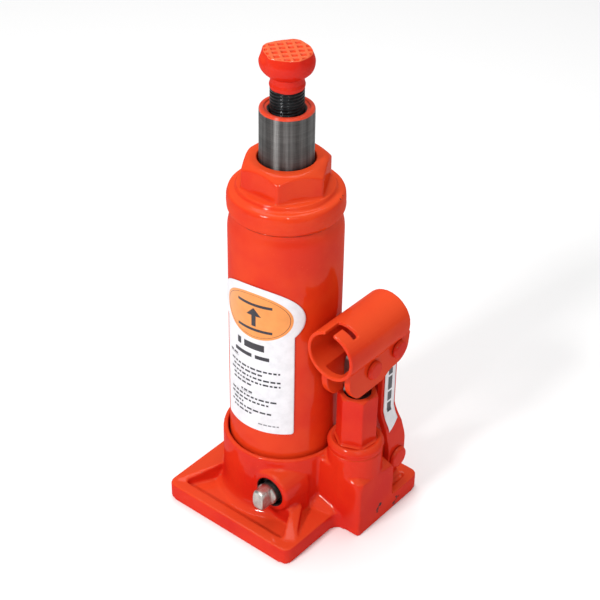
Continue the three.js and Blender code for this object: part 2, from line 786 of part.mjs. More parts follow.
function extensionScrew() {
  const bead = 0.45;
  const stem = turned([
    [0, screwBottom],
    [screwRadius - 1.5, screwBottom],
    [screwRadius - 1.5, screwBottom + stopRingHeight + 2 * gap],
    [screwRadius, screwBottom + stopRingHeight + 2 * gap],
    [screwRadius, beadBottom],
    [screwRadius + bead, beadBottom + 0.4],
    [screwRadius + bead, beadBottom + 1.6],
    [screwRadius - 0.1, beadBottom + 2.4],
    [screwRadius - 0.1, beadBottom + 5.4],
    [screwRadius + 1, beadBottom + 7],
    [saddleRadius - 1.4, beadBottom + 9.8],
    [saddleRadius - 0.2, beadBottom + 11.6],
    [saddleRadius, beadBottom + 13.4],
    [saddleRadius - 0.2, saddleTop - 1.6],
    [saddleFace, saddleTop - 0.4],
    [saddleFace - 0.5, saddleTop],
    [0, saddleTop],
  ], 24);
  const pitch = waffleCell + waffleRib;
  const cells = [];
  for (let i = -3; i < 3; i += 1) {
    for (let j = -3; j < 3; j += 1) {
      const x = (i + 0.5) * pitch;
      const y = (j + 0.5) * pitch;
      if (Math.hypot(x, y) + waffleCell * 0.75 < saddleFace) {
        cells.push(box(
          [x - waffleCell / 2, y - waffleCell / 2, saddleTop - waffleDepth],
          [x + waffleCell / 2, y + waffleCell / 2, saddleTop + 1],
        ));
      }
    }
  }
  return cut(stem, join(...cells));
}

place('extension_screw', extensionScrew(), blackSteel());
place('screw_stop_ring', ring(
  screwRadius - 1.5 + gap, stopRingRadius, screwBottom + gap, screwBottom + gap + stopRingHeight, 32,
), castSteel());

// ---- Filler plug ----

function fillerPlug() {
  const low = fillerZ - fillerHead - 1;
  const high = fillerZ + fillerHead + 1;
  const inner = tubeBore - gap;
  const stem = barY(fillerRadius, 0, fillerZ, inner - fillerInside, tubeRadius + 1, 24);
  const head = barY(fillerHead, 0, fillerZ, inner, tubeRadius + gap + fillerHeadThickness, 24);
  const aroundTube = ring(tubeRadius + gap, 2 * tubeRadius, low, high, 44);
  const throughWall = disc(tubeRadius + 1, low, high, 44);
  return join(stem.intersect(throughWall), head.intersect(aroundTube));
}

place('filler_plug', fillerPlug(), rubber());

// ---- Release valve ----

function releaseValve() {
  const threadEnd = valveThreadY + valveThreadLength;
  const needleEnd = valveSeatY - 2 * valveBallRadius - 2 * gap;
  const grooveEnd = valveGrooveY + valveGrooveWidth;
  const body = join(
    barY(valveRadius, valveX, valveZ, valveEnd, valveThreadY + 1, 24),
    barY(valveThreadRadius, valveX, valveZ, valveThreadY, threadEnd, 24),
    barY(needleChamber - valveEndPlay, valveX, valveZ, threadEnd - 1, needleEnd, 20),
  );
  const side = (sign) => box(
    [valveX + (sign > 0 ? valveFlats / 2 : -valveRadius - 1), valveEnd - 1, valveZ - 8],
    [valveX + (sign > 0 ? valveRadius + 1 : -valveFlats / 2), valveEnd + valveFlatLength, valveZ + 8],
  );
  const groove = cut(
    barY(needleChamber + 1, valveX, valveZ, valveGrooveY, grooveEnd, 24),
    barY(valveGrooveRadius, valveX, valveZ, valveGrooveY - 1, grooveEnd + 1, 20),
  );
  return cut(body, side(1), side(-1), groove);
}

place('release_valve', releaseValve(), zinc());
const oringFront = valveGrooveY + gap;
const oringBack = valveGrooveY + valveGrooveWidth - gap;
place('valve_oring', cut(
  barY(needleChamber - 0.2, valveX, valveZ, oringFront, oringBack, 24),
  barY(valveGrooveRadius + gap, valveX, valveZ, oringFront - 1, oringBack + 1, 24),
), rubber());
place('release_ball', ball(
  valveBallRadius, valveX, valveSeatY - valveBallRadius - gap, valveZ,
), steel());

// ---- Pump cylinder, washer, gland and plunger ----

function pumpCylinder() {
  const body = turned([
    [0, pumpShankSeat + gap],
    [pumpShankRadius, pumpShankSeat + gap],
    [pumpShankRadius, pumpRingBottom],
    [pumpRingRadius - 0.5, pumpRingBottom],
    [pumpRingRadius, pumpRingBottom + 0.6],
    [pumpRingRadius, pumpRingTop - 1],
    [pumpRingRadius - 0.5, pumpRingTop],
    [pumpRingRadius - 2.2, pumpRingTop + 1.4],
    [pumpHexFlats * 0.6, pumpRingTop + 3],
    [pumpHexFlats / 2 - 0.4, pumpRingTop + 5],
    [0, pumpRingTop + 5],
  ], 24);
  const reach = pumpHexFlats / Math.sqrt(3);
  const chamfer = turned([
    [0, pumpRingTop],
    [reach + 1, pumpRingTop],
    [reach + 1, pumpHexTop - 1.2],
    [pumpHexFlats / 2 - 0.5, pumpHexTop],
    [0, pumpHexTop],
  ], 24);
  const post = prism(hexagon(pumpHexFlats, pumpHexVertex), pumpRingTop, pumpHexTop + 1).intersect(chamfer);
  const glandRecess = disc(
    plungerRadius + slideGap + glandWall + gap,
    pumpHexTop - glandTop - glandHeight, pumpHexTop - glandTop, 32,
  );
  return cut(join(body, post), disc(plungerRadius + slideGap, 0, 90, 24), glandRecess)
    .translate([pumpX, pumpY, 0]);
}

place('pump_cylinder', pumpCylinder(), paint());
place('pump_washer', ring(
  pumpShankRadius + gap, bossRadius - 0.8, bossTop + gap, bossTop + gap + washerThickness,
).translate([pumpX, pumpY, 0]), copper());
place('pump_gland', ring(
  plungerRadius + slideGap, plungerRadius + slideGap + glandWall,
  pumpHexTop - glandTop - glandHeight + gap, pumpHexTop - glandTop - gap, 32,
).translate([pumpX, pumpY, 0]), rubber());

function pumpPlunger() {
  const grooveBottom = plungerBottom + plungerLand;
  const grooveTop = grooveBottom + plungerGroove;
  const grooveRadius = plungerRadius - plungerGrooveDepth;
  const headBottom = leftEarBottom - 2 * gap;
  const shoulder = plungerPinZ - shoulderDrop;
  const half = earInner - gap;
  const rod = turned([
    [0, plungerBottom],
    [plungerRadius, plungerBottom],
    [plungerRadius, grooveBottom],
    [grooveRadius, grooveBottom],
    [grooveRadius, grooveTop],
    [plungerRadius, grooveTop],
    [plungerRadius, shoulder],
    [0, shoulder],
  ], 24).translate([pumpX, pumpY, 0]);
  const milled = disc(plungerRadius, shoulder - 1, headBottom, 24)
    .translate([pumpX, pumpY, 0])
    .intersect(box(
      [pumpX - half, pumpY - plungerRadius, shoulder - 2],
      [pumpX + half, pumpY + plungerRadius, headBottom + 1],
    ));
  const eye = rounded([
    [pumpY - eyeRadius, headBottom - gap],
    [pumpY + eyeRadius, headBottom - gap],
    [pumpY + eyeRadius, plungerPinZ + eyeRadius],
    [pumpY - eyeRadius, plungerPinZ + eyeRadius],
  ], [0, 0, eyeRadius, eyeRadius]);
  const head = sidePrism(eye, pumpX - half, pumpX + half, 6);
  const hole = barX(pinRadius + slideGap, pumpY, plungerPinZ, pumpX - 9, pumpX + 9);
  return cut(join(rod, milled, head), hole);
}

place('pump_plunger', pumpPlunger(), steel());
place('plunger_seal', ring(
  plungerRadius - plungerGrooveDepth + gap, plungerRadius,
  plungerBottom + plungerLand + gap, plungerBottom + plungerLand + plungerGroove - gap, 32,
).translate([pumpX, pumpY, 0]), rubber());

// ---- Handle socket ----

function earOutline(bottom) {
  return rounded([
    [socketMouth + 4.5, socketAxisZ],
    [socketMouth + 5, bottom + 8],
    [socketMouth + 10.5, bottom],
    [pumpY + 9, bottom],
    [pumpY + 12.4, bottom + 3],
    [linkPinY + 3.5, bottom + 3.8],
    [earBack - 1.2, bottom + 8],
    [earBack, bottom + 17],
    [socketRear - 1, socketAxisZ],
  ], [1, 3, 4, 3, 3, 3, 3, 1, 1]);
}

function handleSocket() {
  const outline = circle(pumpX, socketAxisZ, socketRadius);
  const bore = circle(pumpX, socketAxisZ, socketBore);
  const tube = frontPrism(outline, socketMouth, socketRear, 24);
  const left = sidePrism(earOutline(leftEarBottom), pumpX - earOuter, pumpX - earInner, 4);
  const right = sidePrism(earOutline(rightEarBottom), pumpX + earInner, pumpX + earOuter, 4);
  const throat = box(
    [pumpX - earInner, socketMouth + 4, leftEarBottom - 5],
    [pumpX + earInner, earBack + 1, socketAxisZ],
  );
  const leadSlot = box(
    [pumpX + slotOffset - slotWidth / 2, socketMouth - 1, socketAxisZ],
    [pumpX + slotOffset + slotWidth / 2, slotLead + slotTurnWidth, socketAxisZ + socketRadius + 1],
  );
  const sweep = slotTurnAngle * degrees;
  const beyond = socketRadius + 3;
  const turnSection = new THREE.Shape([
    new THREE.Vector2(0, 0),
    new THREE.Vector2(beyond * Math.sin(sweep), beyond * Math.cos(sweep)),
    new THREE.Vector2(slotStart, beyond),
  ]);
  const turn = frontPrism(turnSection, slotLead, slotLead + slotTurnWidth)
    .translate([pumpX, 0, socketAxisZ]);
  const pinHole = (y, z) => barX(pinRadius + gap, y, z, pumpX - 12, pumpX + 12);
  const solidTube = cut(tube, frontPrism(bore, socketMouth - 1, socketRear + 1, 24));
  const ears = cut(join(left, right), frontPrism(bore, socketMouth - 1, earBack + 2, 24));
  return cut(
    join(solidTube, ears), throat, leadSlot, turn,
    pinHole(pumpY, plungerPinZ), pinHole(linkPinY, linkPinZ),
  );
}

place('handle_socket', handleSocket(), paint());

// ---- Pins and their clips ----

/** Headed pin along X with its head at +X and a clip groove at -X. */
function headedPin(y, z, headSize, faceX) {
  const head = turned([
    [0, 0],
    [headSize, 0],
    [headSize, headThickness * 0.5],
    [headSize * 0.92, headThickness * 0.8],
    [headSize * 0.7, headThickness],
    [0, headThickness],
  ], 24).rotate([0, 90, 0]).translate([faceX + gap, 0, 0]);
  const shank = disc(pinRadius, -faceX - gap - clipThickness - 1.8, faceX + gap + 0.5, 24).rotate([0, 90, 0]);
  const groove = ring(
    pinRadius - 0.8, pinRadius + 1, -faceX - gap - clipThickness - gap, -faceX - gap, 24,
  ).rotate([0, 90, 0]);
  return cut(join(head, shank), groove).translate([pumpX, y, z]);
}

function pinClip(y, z, faceX) {
  const outline = ring(
    pinRadius - 0.8 + gap, clipRadius, -faceX - gap - clipThickness, -faceX - gap - 0.15, 24,
  ).rotate([0, 90, 0]);
  const mouth = box([-faceX - 4, -1.4, -clipRadius - 1], [-faceX + 1, 1.4, 0]);
  return cut(outline, mouth).translate([pumpX, y, z]);
}

const lowerFace = linkLowerX + linkThickness;
place('plunger_pin', headedPin(pumpY, plungerPinZ, headRadius, earOuter), paint());
place('plunger_pin_clip', pinClip(pumpY, plungerPinZ, earOuter), castSteel());
place('link_pin', headedPin(linkPinY, linkPinZ, headRadius, earOuter), paint());
place('link_pin_clip', pinClip(linkPinY, linkPinZ, earOuter), castSteel());
place('lug_pin', headedPin(lugPinY, lugPinZ, lowerHeadRadius, lowerFace), paint());
place('lug_pin_clip', pinClip(lugPinY, lugPinZ, lowerFace), castSteel());

// ---- Links ----

function link(side) {
  const bend = joggleTop - 3;
  const slope = (lugPinY - linkPinY) / (bend - lugPinZ);
  const kneeY = linkPinY + slope * (bend - joggleBottom);
  const outline = rounded([
    [linkPinY - linkTopHalf, linkPinZ + linkTopHalf],
    [linkPinY - linkTopHalf, bend],
    [kneeY - linkTopHalf - 0.4, joggleBottom],
    [lugPinY - linkLowHalf, lugPinZ + 8],
    [lugPinY - linkLowHalf, lugPinZ - linkLowHalf],
    [lugPinY + linkLowHalf, lugPinZ - linkLowHalf],
    [lugPinY + linkLowHalf, lugPinZ + 10],
    [linkPinY + linkTopHalf, bend],
    [linkPinY + linkTopHalf, linkPinZ + linkTopHalf],
  ], [4.6, 3, 3, 4, 5.6, 5.6, 4, 6, 4.6]);
  const strip = new THREE.Shape([
    [linkUpperX, linkPinZ + 12],
    [linkUpperX, joggleTop],
    [linkLowerX, joggleBottom],
    [linkLowerX, lugPinZ - 12],
    [linkLowerX + linkThickness, lugPinZ - 12],
    [linkLowerX + linkThickness, joggleBottom + 1],
    [linkUpperX + linkThickness, joggleTop + 1],
    [linkUpperX + linkThickness, linkPinZ + 12],
  ].map(([x, z]) => new THREE.Vector2(x * side, z)));
  const plateBody = frontPrism(strip, 0, 50).intersect(sidePrism(outline, -12, 12, 6));
  return cut(
    plateBody,
    barX(pinRadius + linkPlay, linkPinY, linkPinZ, -12, 12),
    barX(pinRadius + slideGap, lugPinY, lugPinZ, -12, 12),
  ).translate([pumpX, 0, 0]);
}

place('link_left', link(-1), paint());
place('link_right', link(1), paint());

// ---- Valve balls, springs and plugs ----

place('suction_ball', ball(
  ballRadius, pumpX + suctionX, pumpY + suctionY, suctionFloor + ballRadius + gap,
), steel());
const deliveryBallX = valvePocketX + ballRadius + gap;
place('delivery_ball', ball(ballRadius, deliveryBallX, drillY, drillZ), steel());
const springFrom = deliveryBallX + ballRadius + gap + 2 * springWire;
const springTo = plateRight - plugLength - gap - 3 * springWire;
place('delivery_spring', spring(ballRadius - 0.3, springTo - springFrom, 3)
  .rotate([0, 90, 0]).translate([springFrom, drillY, drillZ]), castSteel());
place('delivery_plug', barX(
  plugRadius, drillY, drillZ, plateRight - plugLength + gap, plateRight - gap,
), paint());
const reliefBallRadius = ballRadius - 0.6;
const reliefBallX = plateRight - pocketDepth + gap + reliefBallRadius;
place('relief_ball', ball(reliefBallRadius, reliefBallX, reliefY, reliefZ), steel());
const reliefFrom = reliefBallX + reliefBallRadius + gap + 2 * springWire;
place('relief_spring', spring(reliefBallRadius, springTo - reliefFrom, 2)
  .rotate([0, 90, 0]).translate([reliefFrom, reliefY, reliefZ]), castSteel());
place('relief_screw', barX(
  plugRadius, reliefY, reliefZ, plateRight - plugLength + gap, plateRight - gap,
), paint());

// ---- Labels ----

function reservoirLabel() {
  const radius = tubeRadius + gap;
  const across = (angle) => radius * Math.sin(angle * degrees);
  const shape = new THREE.Shape();
  const shoulder = Math.acos(labelHalf / labelHeadHalf);
  shape.moveTo(across(-labelHalf), labelBottom);
  shape.lineTo(across(labelHalf), labelBottom);
  const steps = 40;
  for (let i = 0; i <= steps; i += 1) {
    const turn = -shoulder + (Math.PI + 2 * shoulder) * (i / steps);
    shape.lineTo(
      across(labelHeadHalf * Math.cos(turn)), labelHeadZ + labelHeadHeight * Math.sin(turn),
    );
  }
  shape.closePath();
  const shell = ring(radius, radius + labelThickness, labelBottom - 5, labelHeadZ + 30, 144);
  return frontPrism(shape, -radius - 2, 0).intersect(shell).rotate([0, 0, labelAngle + 90]);
}

place('reservoir_label', reservoirLabel(), paper());

function linkLabel() {
  const face = pumpX + linkUpperX + linkThickness + 0.2;
  const shape = rounded([
    [linkPinY - linkLabelHalf, linkLabelBottom],
    [linkPinY + linkLabelHalf, linkLabelBottom],
    [linkPinY + linkLabelHalf, linkLabelTop],
    [linkPinY - linkLabelHalf, linkLabelTop],
  ], 0.3);
  return sidePrism(shape, face, face + labelThickness);
}

place('link_label', linkLabel(), paper());

export default jack;
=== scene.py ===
# Hydraulic bottle jack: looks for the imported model. Metres, in the model's own frame.
import math
import bpy
import numpy as np
from mathutils import Matrix, Vector


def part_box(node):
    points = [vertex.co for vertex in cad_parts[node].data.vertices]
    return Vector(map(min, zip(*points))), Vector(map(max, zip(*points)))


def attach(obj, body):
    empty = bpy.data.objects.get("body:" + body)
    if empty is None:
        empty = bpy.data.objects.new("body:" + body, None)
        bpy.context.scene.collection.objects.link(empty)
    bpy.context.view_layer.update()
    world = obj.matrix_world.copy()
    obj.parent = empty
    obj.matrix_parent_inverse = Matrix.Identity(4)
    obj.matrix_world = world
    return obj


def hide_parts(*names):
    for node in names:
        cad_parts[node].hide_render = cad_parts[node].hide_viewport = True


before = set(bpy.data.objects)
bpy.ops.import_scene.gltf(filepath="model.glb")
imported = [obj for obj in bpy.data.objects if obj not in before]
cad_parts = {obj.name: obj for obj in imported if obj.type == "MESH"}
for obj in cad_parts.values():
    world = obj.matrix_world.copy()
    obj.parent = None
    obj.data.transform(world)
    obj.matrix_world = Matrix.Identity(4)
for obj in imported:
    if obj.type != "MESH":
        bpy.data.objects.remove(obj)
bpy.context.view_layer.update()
mm = 0.001
turn = 2 * math.pi


# A grid of rings becomes a skin: each point is joined to its neighbours round the ring and on the
# next ring. Poles close the two ends, or the last ring joins the first (loop).
def skin(name, rings, startPole=None, endPole=None, loop=False):
    count, around = rings.shape[:2]
    index = np.arange(count * around).reshape(count, around)
    following = np.roll(index, -1, axis=1)
    if loop:
        lower, upper = index, np.roll(index, -1, axis=0)
        lowerNext, upperNext = following, np.roll(following, -1, axis=0)
    else:
        lower, upper = index[:-1], index[1:]
        lowerNext, upperNext = following[:-1], following[1:]
    faces = np.stack([lower, lowerNext, upperNext, upper], -1).reshape(-1, 4).tolist()
    vertices = rings.reshape(-1, 3)
    if startPole is not None:
        pole = len(vertices)
        vertices = np.vstack([vertices, startPole])
        faces += np.stack([np.full(around, pole), following[0], index[0]], -1).tolist()
    if endPole is not None:
        pole = len(vertices)
        vertices = np.vstack([vertices, endPole])
        faces += np.stack([index[-1], following[-1], np.full(around, pole)], -1).tolist()
    return meshObject(name, vertices * mm, faces)


def meshObject(name, vertices, faces, smooth=True):
    mesh = bpy.data.meshes.new(name)
    mesh.from_pydata(np.asarray(vertices).tolist(), [], faces)
    mesh.update()
    if smooth:
        mesh.shade_smooth()
    piece = bpy.data.objects.new(name, mesh)
    bpy.context.scene.collection.objects.link(piece)
    return piece


# Corners (radius, height, fillet) joined by straight runs, each corner eased by a parabola
# that starts and ends one fillet away, and the runs cut into steps no longer than `step`.
def easedProfile(corners, step=0.7, closed=False):
    corners = np.array([list(c) + [0.0] * (3 - len(c)) for c in corners], float)
    points = corners[:, :2]
    path = []
    last = len(points) - 1
    for i, (point, fillet) in enumerate(zip(points, corners[:, 2])):
        if fillet <= 0 or (not closed and i in (0, last)):
            path.append(point)
            continue
        before, after = points[i - 1] - point, points[(i + 1) % len(points)] - point
        start = point + before / np.linalg.norm(before) * min(fillet, np.linalg.norm(before) * 0.49)
        end = point + after / np.linalg.norm(after) * min(fillet, np.linalg.norm(after) * 0.49)
        t = np.linspace(0, 1, 7)[:, None]
        path += list((1 - t) ** 2 * start + 2 * t * (1 - t) * point + t ** 2 * end)
    if closed:
        path.append(path[0])
    path = np.array(path)
    pieces = [path[:1]]
    for a, b in zip(path[:-1], path[1:]):
        parts = max(1, int(np.ceil(np.linalg.norm(b - a) / step)))
        pieces.append(a + (b - a) * np.linspace(0, 1, parts + 1)[1:, None])
    path = np.vstack(pieces)
    return path[:-1] if closed else path


# Profile turned about Z: each point (radius, height) becomes a ring at that radius and height.
# `reach` may change the radius by angle and height.
def turnedRings(profile, around=192, reach=None):
    angle = np.linspace(0, turn, around, endpoint=False)[None, :]
    radius = np.repeat(profile[:, :1], around, axis=1)
    height = np.repeat(profile[:, 1:2], around, axis=1)
    if reach is not None:
        radius, height = reach(radius, height, angle)
    return np.stack([radius * np.cos(angle), radius * np.sin(angle), height], -1)


def turnedPiece(name, corners, around=192, step=0.7, reach=None, closed=False):
    profile = easedProfile(corners, step, closed)
    if closed:
        return skin(name, turnedRings(profile, around, reach), loop=True)
    startPole = [0, 0, profile[0, 1]] if profile[0, 0] < 1e-6 else None
    endPole = [0, 0, profile[-1, 1]] if profile[-1, 0] < 1e-6 else None
    body = profile[(1 if startPole else 0):(-1 if endPole else None)]
    return skin(name, turnedRings(body, around, reach), startPole, endPole)


# Distance from the axis to a regular hexagon's wall in each direction, with eased corners:
# the p-norm of the six faces' cosines, upside down.
def hexagonReach(angle, acrossFlats, vertexAngle, sharpness=60):
    faces = np.radians(vertexAngle + 30 + 60 * np.arange(6))
    cosines = np.clip(np.cos(angle[..., None] - faces), 1e-9, None)
    return acrossFlats / 2 / (cosines ** sharpness).sum(-1) ** (1 / sharpness)


# The smaller of two distances, blended by a parabola where they are within a width of each other.
def smoothMin(a, b, width):
    blendShare = np.clip(0.5 + 0.5 * (b - a) / width, 0, 1)
    return b + (a - b) * blendShare - width * blendShare * (1 - blendShare)


# 0 below low, 1 above high, and 3t squared less 2t cubed between them.
def smoothStep(low, high, value):
    t = np.clip((value - low) / (high - low), 0, 1)
    return t * t * (3 - 2 * t)


# Turns a piece made about Z so that its axis lies along another direction, then moves it, all in
# its mesh.
def placeAlong(piece, axis, origin):
    swing = Vector((0, 0, 1)).rotation_difference(Vector(axis)).to_matrix().to_4x4()
    piece.data.transform(Matrix.Translation(Vector(origin) * mm) @ swing)
    return piece


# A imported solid's points, in the model's own frame, and its triangles.
def nodeArrays(node):
    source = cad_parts[node]
    mesh = source.data
    mesh.calc_loop_triangles()
    points = np.empty(len(mesh.vertices) * 3)
    mesh.vertices.foreach_get("co", points)
    faces = np.empty(len(mesh.loop_triangles) * 3, dtype=np.int64)
    mesh.loop_triangles.foreach_get("vertices", faces)
    placing = np.array(source.matrix_world)
    return points.reshape(-1, 3) @ placing[:3, :3].T + placing[:3, 3], faces.reshape(-1, 3)


# A cast or pressed piece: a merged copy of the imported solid, remade in small even cells and
# relaxed, which rounds its edges by about one cell. Plugs grown by `filled` close their own holes,
# flush with the piece's outermost face, as thick enamel does.
def softCopy(name, node, cell, relax=4, filled=()):
    points, faces = nodeArrays(node)
    for plug, growth in filled:
        plugPoints, plugFaces = nodeArrays(plug)
        low, high = plugPoints.min(0), plugPoints.max(0)
        middle = (low + high) / 2
        plugPoints = middle + (plugPoints - middle) * np.array([1.0, growth, growth])
        plugPoints[:, 0] += points[:, 0].max() - high[0]
        faces = np.vstack([faces, plugFaces + len(points)])
        points = np.vstack([points, plugPoints])
    piece = meshObject(name, points, faces.tolist())
    weld = piece.modifiers.new("weld", "WELD")
    weld.merge_threshold = 1e-5
    remesh = piece.modifiers.new("remesh", "REMESH")
    remesh.mode = "VOXEL"
    remesh.voxel_size = cell * mm
    remesh.use_smooth_shade = True
    relaxing = piece.modifiers.new("relax", "SMOOTH")
    relaxing.factor = 0.5
    relaxing.iterations = relax
    dependencies = bpy.context.evaluated_depsgraph_get()
    mesh = bpy.data.meshes.new_from_object(piece.evaluated_get(dependencies))
    piece.modifiers.clear()
    piece.data = mesh
    mesh.shade_smooth()
    return piece


class Finish:
    # One node-built material, with short calls for the nodes that it uses.
    def __init__(self, name):
        self.material = bpy.data.materials.new(name)
        self.material.use_nodes = True
        self.tree = self.material.node_tree
        self.shader = self.tree.nodes["Principled BSDF"]
        self.place = self.tree.nodes.new("ShaderNodeTexCoord").outputs["Object"]

    def node(self, kind, **settings):
        made = self.tree.nodes.new(kind)
        for key, value in settings.items():
            setattr(made, key, value)
        return made

    def link(self, source, target):
        self.tree.links.new(source, target)
        return self

    def scaled(self, scale):
        mapping = self.node("ShaderNodeMapping")
        mapping.inputs["Scale"].default_value = scale
        self.link(self.place, mapping.inputs["Vector"])
        return mapping.outputs["Vector"]

    def noise(self, scale, detail=3.0, rough=0.5, where=None):
        made = self.node("ShaderNodeTexNoise")
        made.inputs["Scale"].default_value = scale
        made.inputs["Detail"].default_value = detail
        made.inputs["Roughness"].default_value = rough
        self.link(where or self.place, made.inputs["Vector"])
        return made.outputs["Fac"]

    def spread(self, value, low, high, outLow=0.0, outHigh=1.0):
        made = self.node("ShaderNodeMapRange", interpolation_type="SMOOTHSTEP")
        for key, number in (("From Min", low), ("From Max", high), ("To Min", outLow), ("To Max", outHigh)):
            made.inputs[key].default_value = number
        self.link(value, made.inputs["Value"])
        return made.outputs["Result"]

    def combine(self, kind, first, second):
        made = self.node("ShaderNodeMath", operation=kind)
        for socket, value in zip(made.inputs, (first, second)):
            if isinstance(value, (int, float)):
                socket.default_value = value
            else:
                self.link(value, socket)
        return made.outputs[0]

    def mixed(self, share, first, second):
        made = self.node("ShaderNodeMix", data_type="RGBA")
        for socket, value in ((made.inputs[0], share), (made.inputs[6], first), (made.inputs[7], second)):
            if isinstance(value, (int, float)):
                socket.default_value = value
            elif isinstance(value, tuple):
                socket.default_value = (*value, 1)
            else:
                self.link(value, socket)
        return made.outputs[2]

    def bumped(self, *layers):
        normal = None
        for height, strength, distance in layers:
            made = self.node("ShaderNodeBump")
            made.inputs["Strength"].default_value = strength
            made.inputs["Distance"].default_value = distance
            self.link(height, made.inputs["Height"])
            if normal is not None:
                self.link(normal, made.inputs["Normal"])
            normal = made.outputs["Normal"]
        self.link(normal, self.shader.inputs["Normal"])
        return self

    def axis(self, letter):
        made = self.node("ShaderNodeSeparateXYZ")
        self.link(self.place, made.inputs["Vector"])
        return made.outputs[letter]

    def near(self, point, radius):
        # 1 at a point on the piece, falling to 0 at a radius from it
        made = self.node("ShaderNodeVectorMath", operation="DISTANCE")
        self.link(self.place, made.inputs[0])
        made.inputs[1].default_value = [v * mm for v in point]
        return self.spread(made.outputs["Value"], radius * mm, 0.0)

    def feeding(self, socket):
        # What is linked to one of the shader's sockets so far
        return self.shader.inputs[socket].links[0].from_socket

    def set(self, **values):
        for key, value in values.items():
            self.shader.inputs[key.replace("_", " ")].default_value = value
        return self


# Two copies of one enamel, painted light: the orange pair is for pieces that face the light, the red pair
# (red=True) for pieces more in shade.
enamelLook = {
    "litOrange": (0.70, 0.046, 0.009),
    "litOrangeDeep": (0.64, 0.026, 0.007),
    "shadedRed": (0.66, 0.026, 0.008),
    "shadedRedDeep": (0.60, 0.015, 0.007),
    "dustAndSheen": (0.74, 0.085, 0.024),
    "primer": (0.030, 0.020, 0.020),
    "topSheen": 0.55,
}


# Thick glossy enamel: slow drift of colour, a painted sheen on faces that look up (mixed towards a lighter
# orange, as lit tops look;
# the same colour serves for dust specks), orange peel, edges rubbed down to primer, and chips (place,
# radius) where stated.
def enamel(name, peel=0.10, swell=0.0, swellScale=260.0, chips=(), wear=0.0, red=False):
    look = enamelLook
    finish = Finish(name)
    drift = finish.spread(finish.noise(38.0, 4.0), 0.35, 0.7)
    # Painted light: the lit orange copy, or the shaded red copy when red is set.
    colour = finish.mixed(drift, look["shadedRed" if red else "litOrange"], look["shadedRedDeep" if red else "litOrangeDeep"])
    facing = finish.node("ShaderNodeSeparateXYZ")
    finish.link(finish.node("ShaderNodeNewGeometry").outputs["Normal"], facing.inputs["Vector"])
    # Painted light: faces that look up are mixed towards a lighter orange, as lit tops look.
    topSheenShare = finish.spread(facing.outputs["Z"], 0.25, 0.95, 0.0, look["topSheen"])
    colour = finish.mixed(topSheenShare, colour, look["dustAndSheen"])
    speck = finish.spread(finish.noise(900.0, 2.0), 0.66, 0.8, 0.0, 0.35)
    colour = finish.mixed(speck, colour, look["dustAndSheen"])
    rough = finish.spread(finish.noise(120.0, 4.0, 0.6), 0.3, 0.75, 0.11, 0.24)
    if wear > 0:
        edges = finish.node("ShaderNodeNewGeometry").outputs["Pointiness"]
        rubbedAndSheen = finish.spread(edges, 0.56, 0.64)
        broken = finish.spread(finish.noise(420.0, 5.0, 0.7), 0.60, 0.66)
        worn = finish.combine("MULTIPLY", finish.combine("MULTIPLY", rubbedAndSheen, broken), wear)
        colour = finish.mixed(worn, colour, look["primer"])
        rough = finish.combine("ADD", rough, finish.combine("MULTIPLY", worn, 0.4))
    for point, radius in chips:
        ragged = finish.spread(finish.noise(520.0, 4.0, 0.7), 0.30, 0.70, 0.0, 1.0)
        chip = finish.spread(finish.combine("MULTIPLY", finish.near(point, radius), ragged), 0.30, 0.38)
        colour = finish.mixed(chip, colour, look["primer"])
        rough = finish.combine("ADD", rough, finish.combine("MULTIPLY", chip, 0.4))
    finish.link(colour, finish.shader.inputs["Base Color"])
    finish.link(rough, finish.shader.inputs["Roughness"])
    finish.set(Coat_Weight=0.10, Coat_IOR=2.2, Coat_Roughness=0.07, Specular_IOR_Level=0.0)
    layers = [(finish.noise(1500.0, 2.0), peel, 0.00012)]
    if swell > 0:
        layers.insert(0, (finish.noise(swellScale, 3.0, 0.6), swell, 0.0006))
    finish.bumped(*layers)
    return finish


tubePaint = enamel("tube enamel", peel=0.06)


# Where the painted shade of the valve's bore goes, and its near-black colour.
boreShadeLook = {
    "x": 16.0, "z": 22.5, "radius": 7.7, "edge": 0.08, "front": -14.0, "steel": (0.012, 0.012, 0.013),
}


# Painted shade in the release valve's bore: inside a cylinder along Y the casting is coloured near black, as
# the bore looks in shade.
def paintedBoreShade(finish):
    look = boreShadeLook
    flat = finish.node("ShaderNodeVectorMath", operation="DISTANCE")
    finish.link(finish.scaled((1, 0, 1)), flat.inputs[0])
    flat.inputs[1].default_value = (look["x"] * mm, 0, look["z"] * mm)
    rim = look["radius"] + look["edge"]
    within = finish.spread(flat.outputs["Value"], rim * mm, (look["radius"] - 0.02) * mm)
    forward = finish.spread(finish.axis("Y"), look["front"] * mm, (look["front"] - 0.5) * mm)
    # Painted shade: the casting goes near black inside the bore.
    shadedBore = finish.combine("MULTIPLY", within, forward)
    coloured = finish.mixed(shadedBore, finish.feeding("Base Color"), look["steel"])
    finish.link(coloured, finish.shader.inputs["Base Color"])


castPaint = enamel("casting enamel", peel=0.12, swell=0.30, swellScale=240.0, wear=0.8, red=True, chips=(
    ((52.6, 7.2, 7.0), 3.0), ((52.6, 8.9, 9.6), 2.6), ((52.6, 23.4, 4.2), 3.8), ((52.6, 21.0, 1.6), 3.4),
))
# The casting's enamel carries the painted shade of the valve's bore.
paintedBoreShade(castPaint)
nutPaint = enamel("nut enamel", peel=0.10, swell=0.15, swellScale=420.0, chips=(
    ((24.0, 7.2, 170.0), 0.9), ((23.2, 10.4, 170.2), 0.8),
    ((22.9, 4.0, 170.4), 0.7), ((22.4, 12.6, 170.4), 0.8),
))
sheetPaint = enamel("pressed steel enamel", peel=0.08, swell=0.08, swellScale=300.0, wear=0.5)
postPaint = enamel("pump enamel", peel=0.09, swell=0.08, swellScale=300.0, wear=0.5, red=True)
linkPaint = enamel("link enamel", peel=0.08, swell=0.12, swellScale=260.0, wear=0.6, red=True)
headPaint = enamel("forged head enamel", peel=0.14, swell=0.25, swellScale=380.0, red=True)
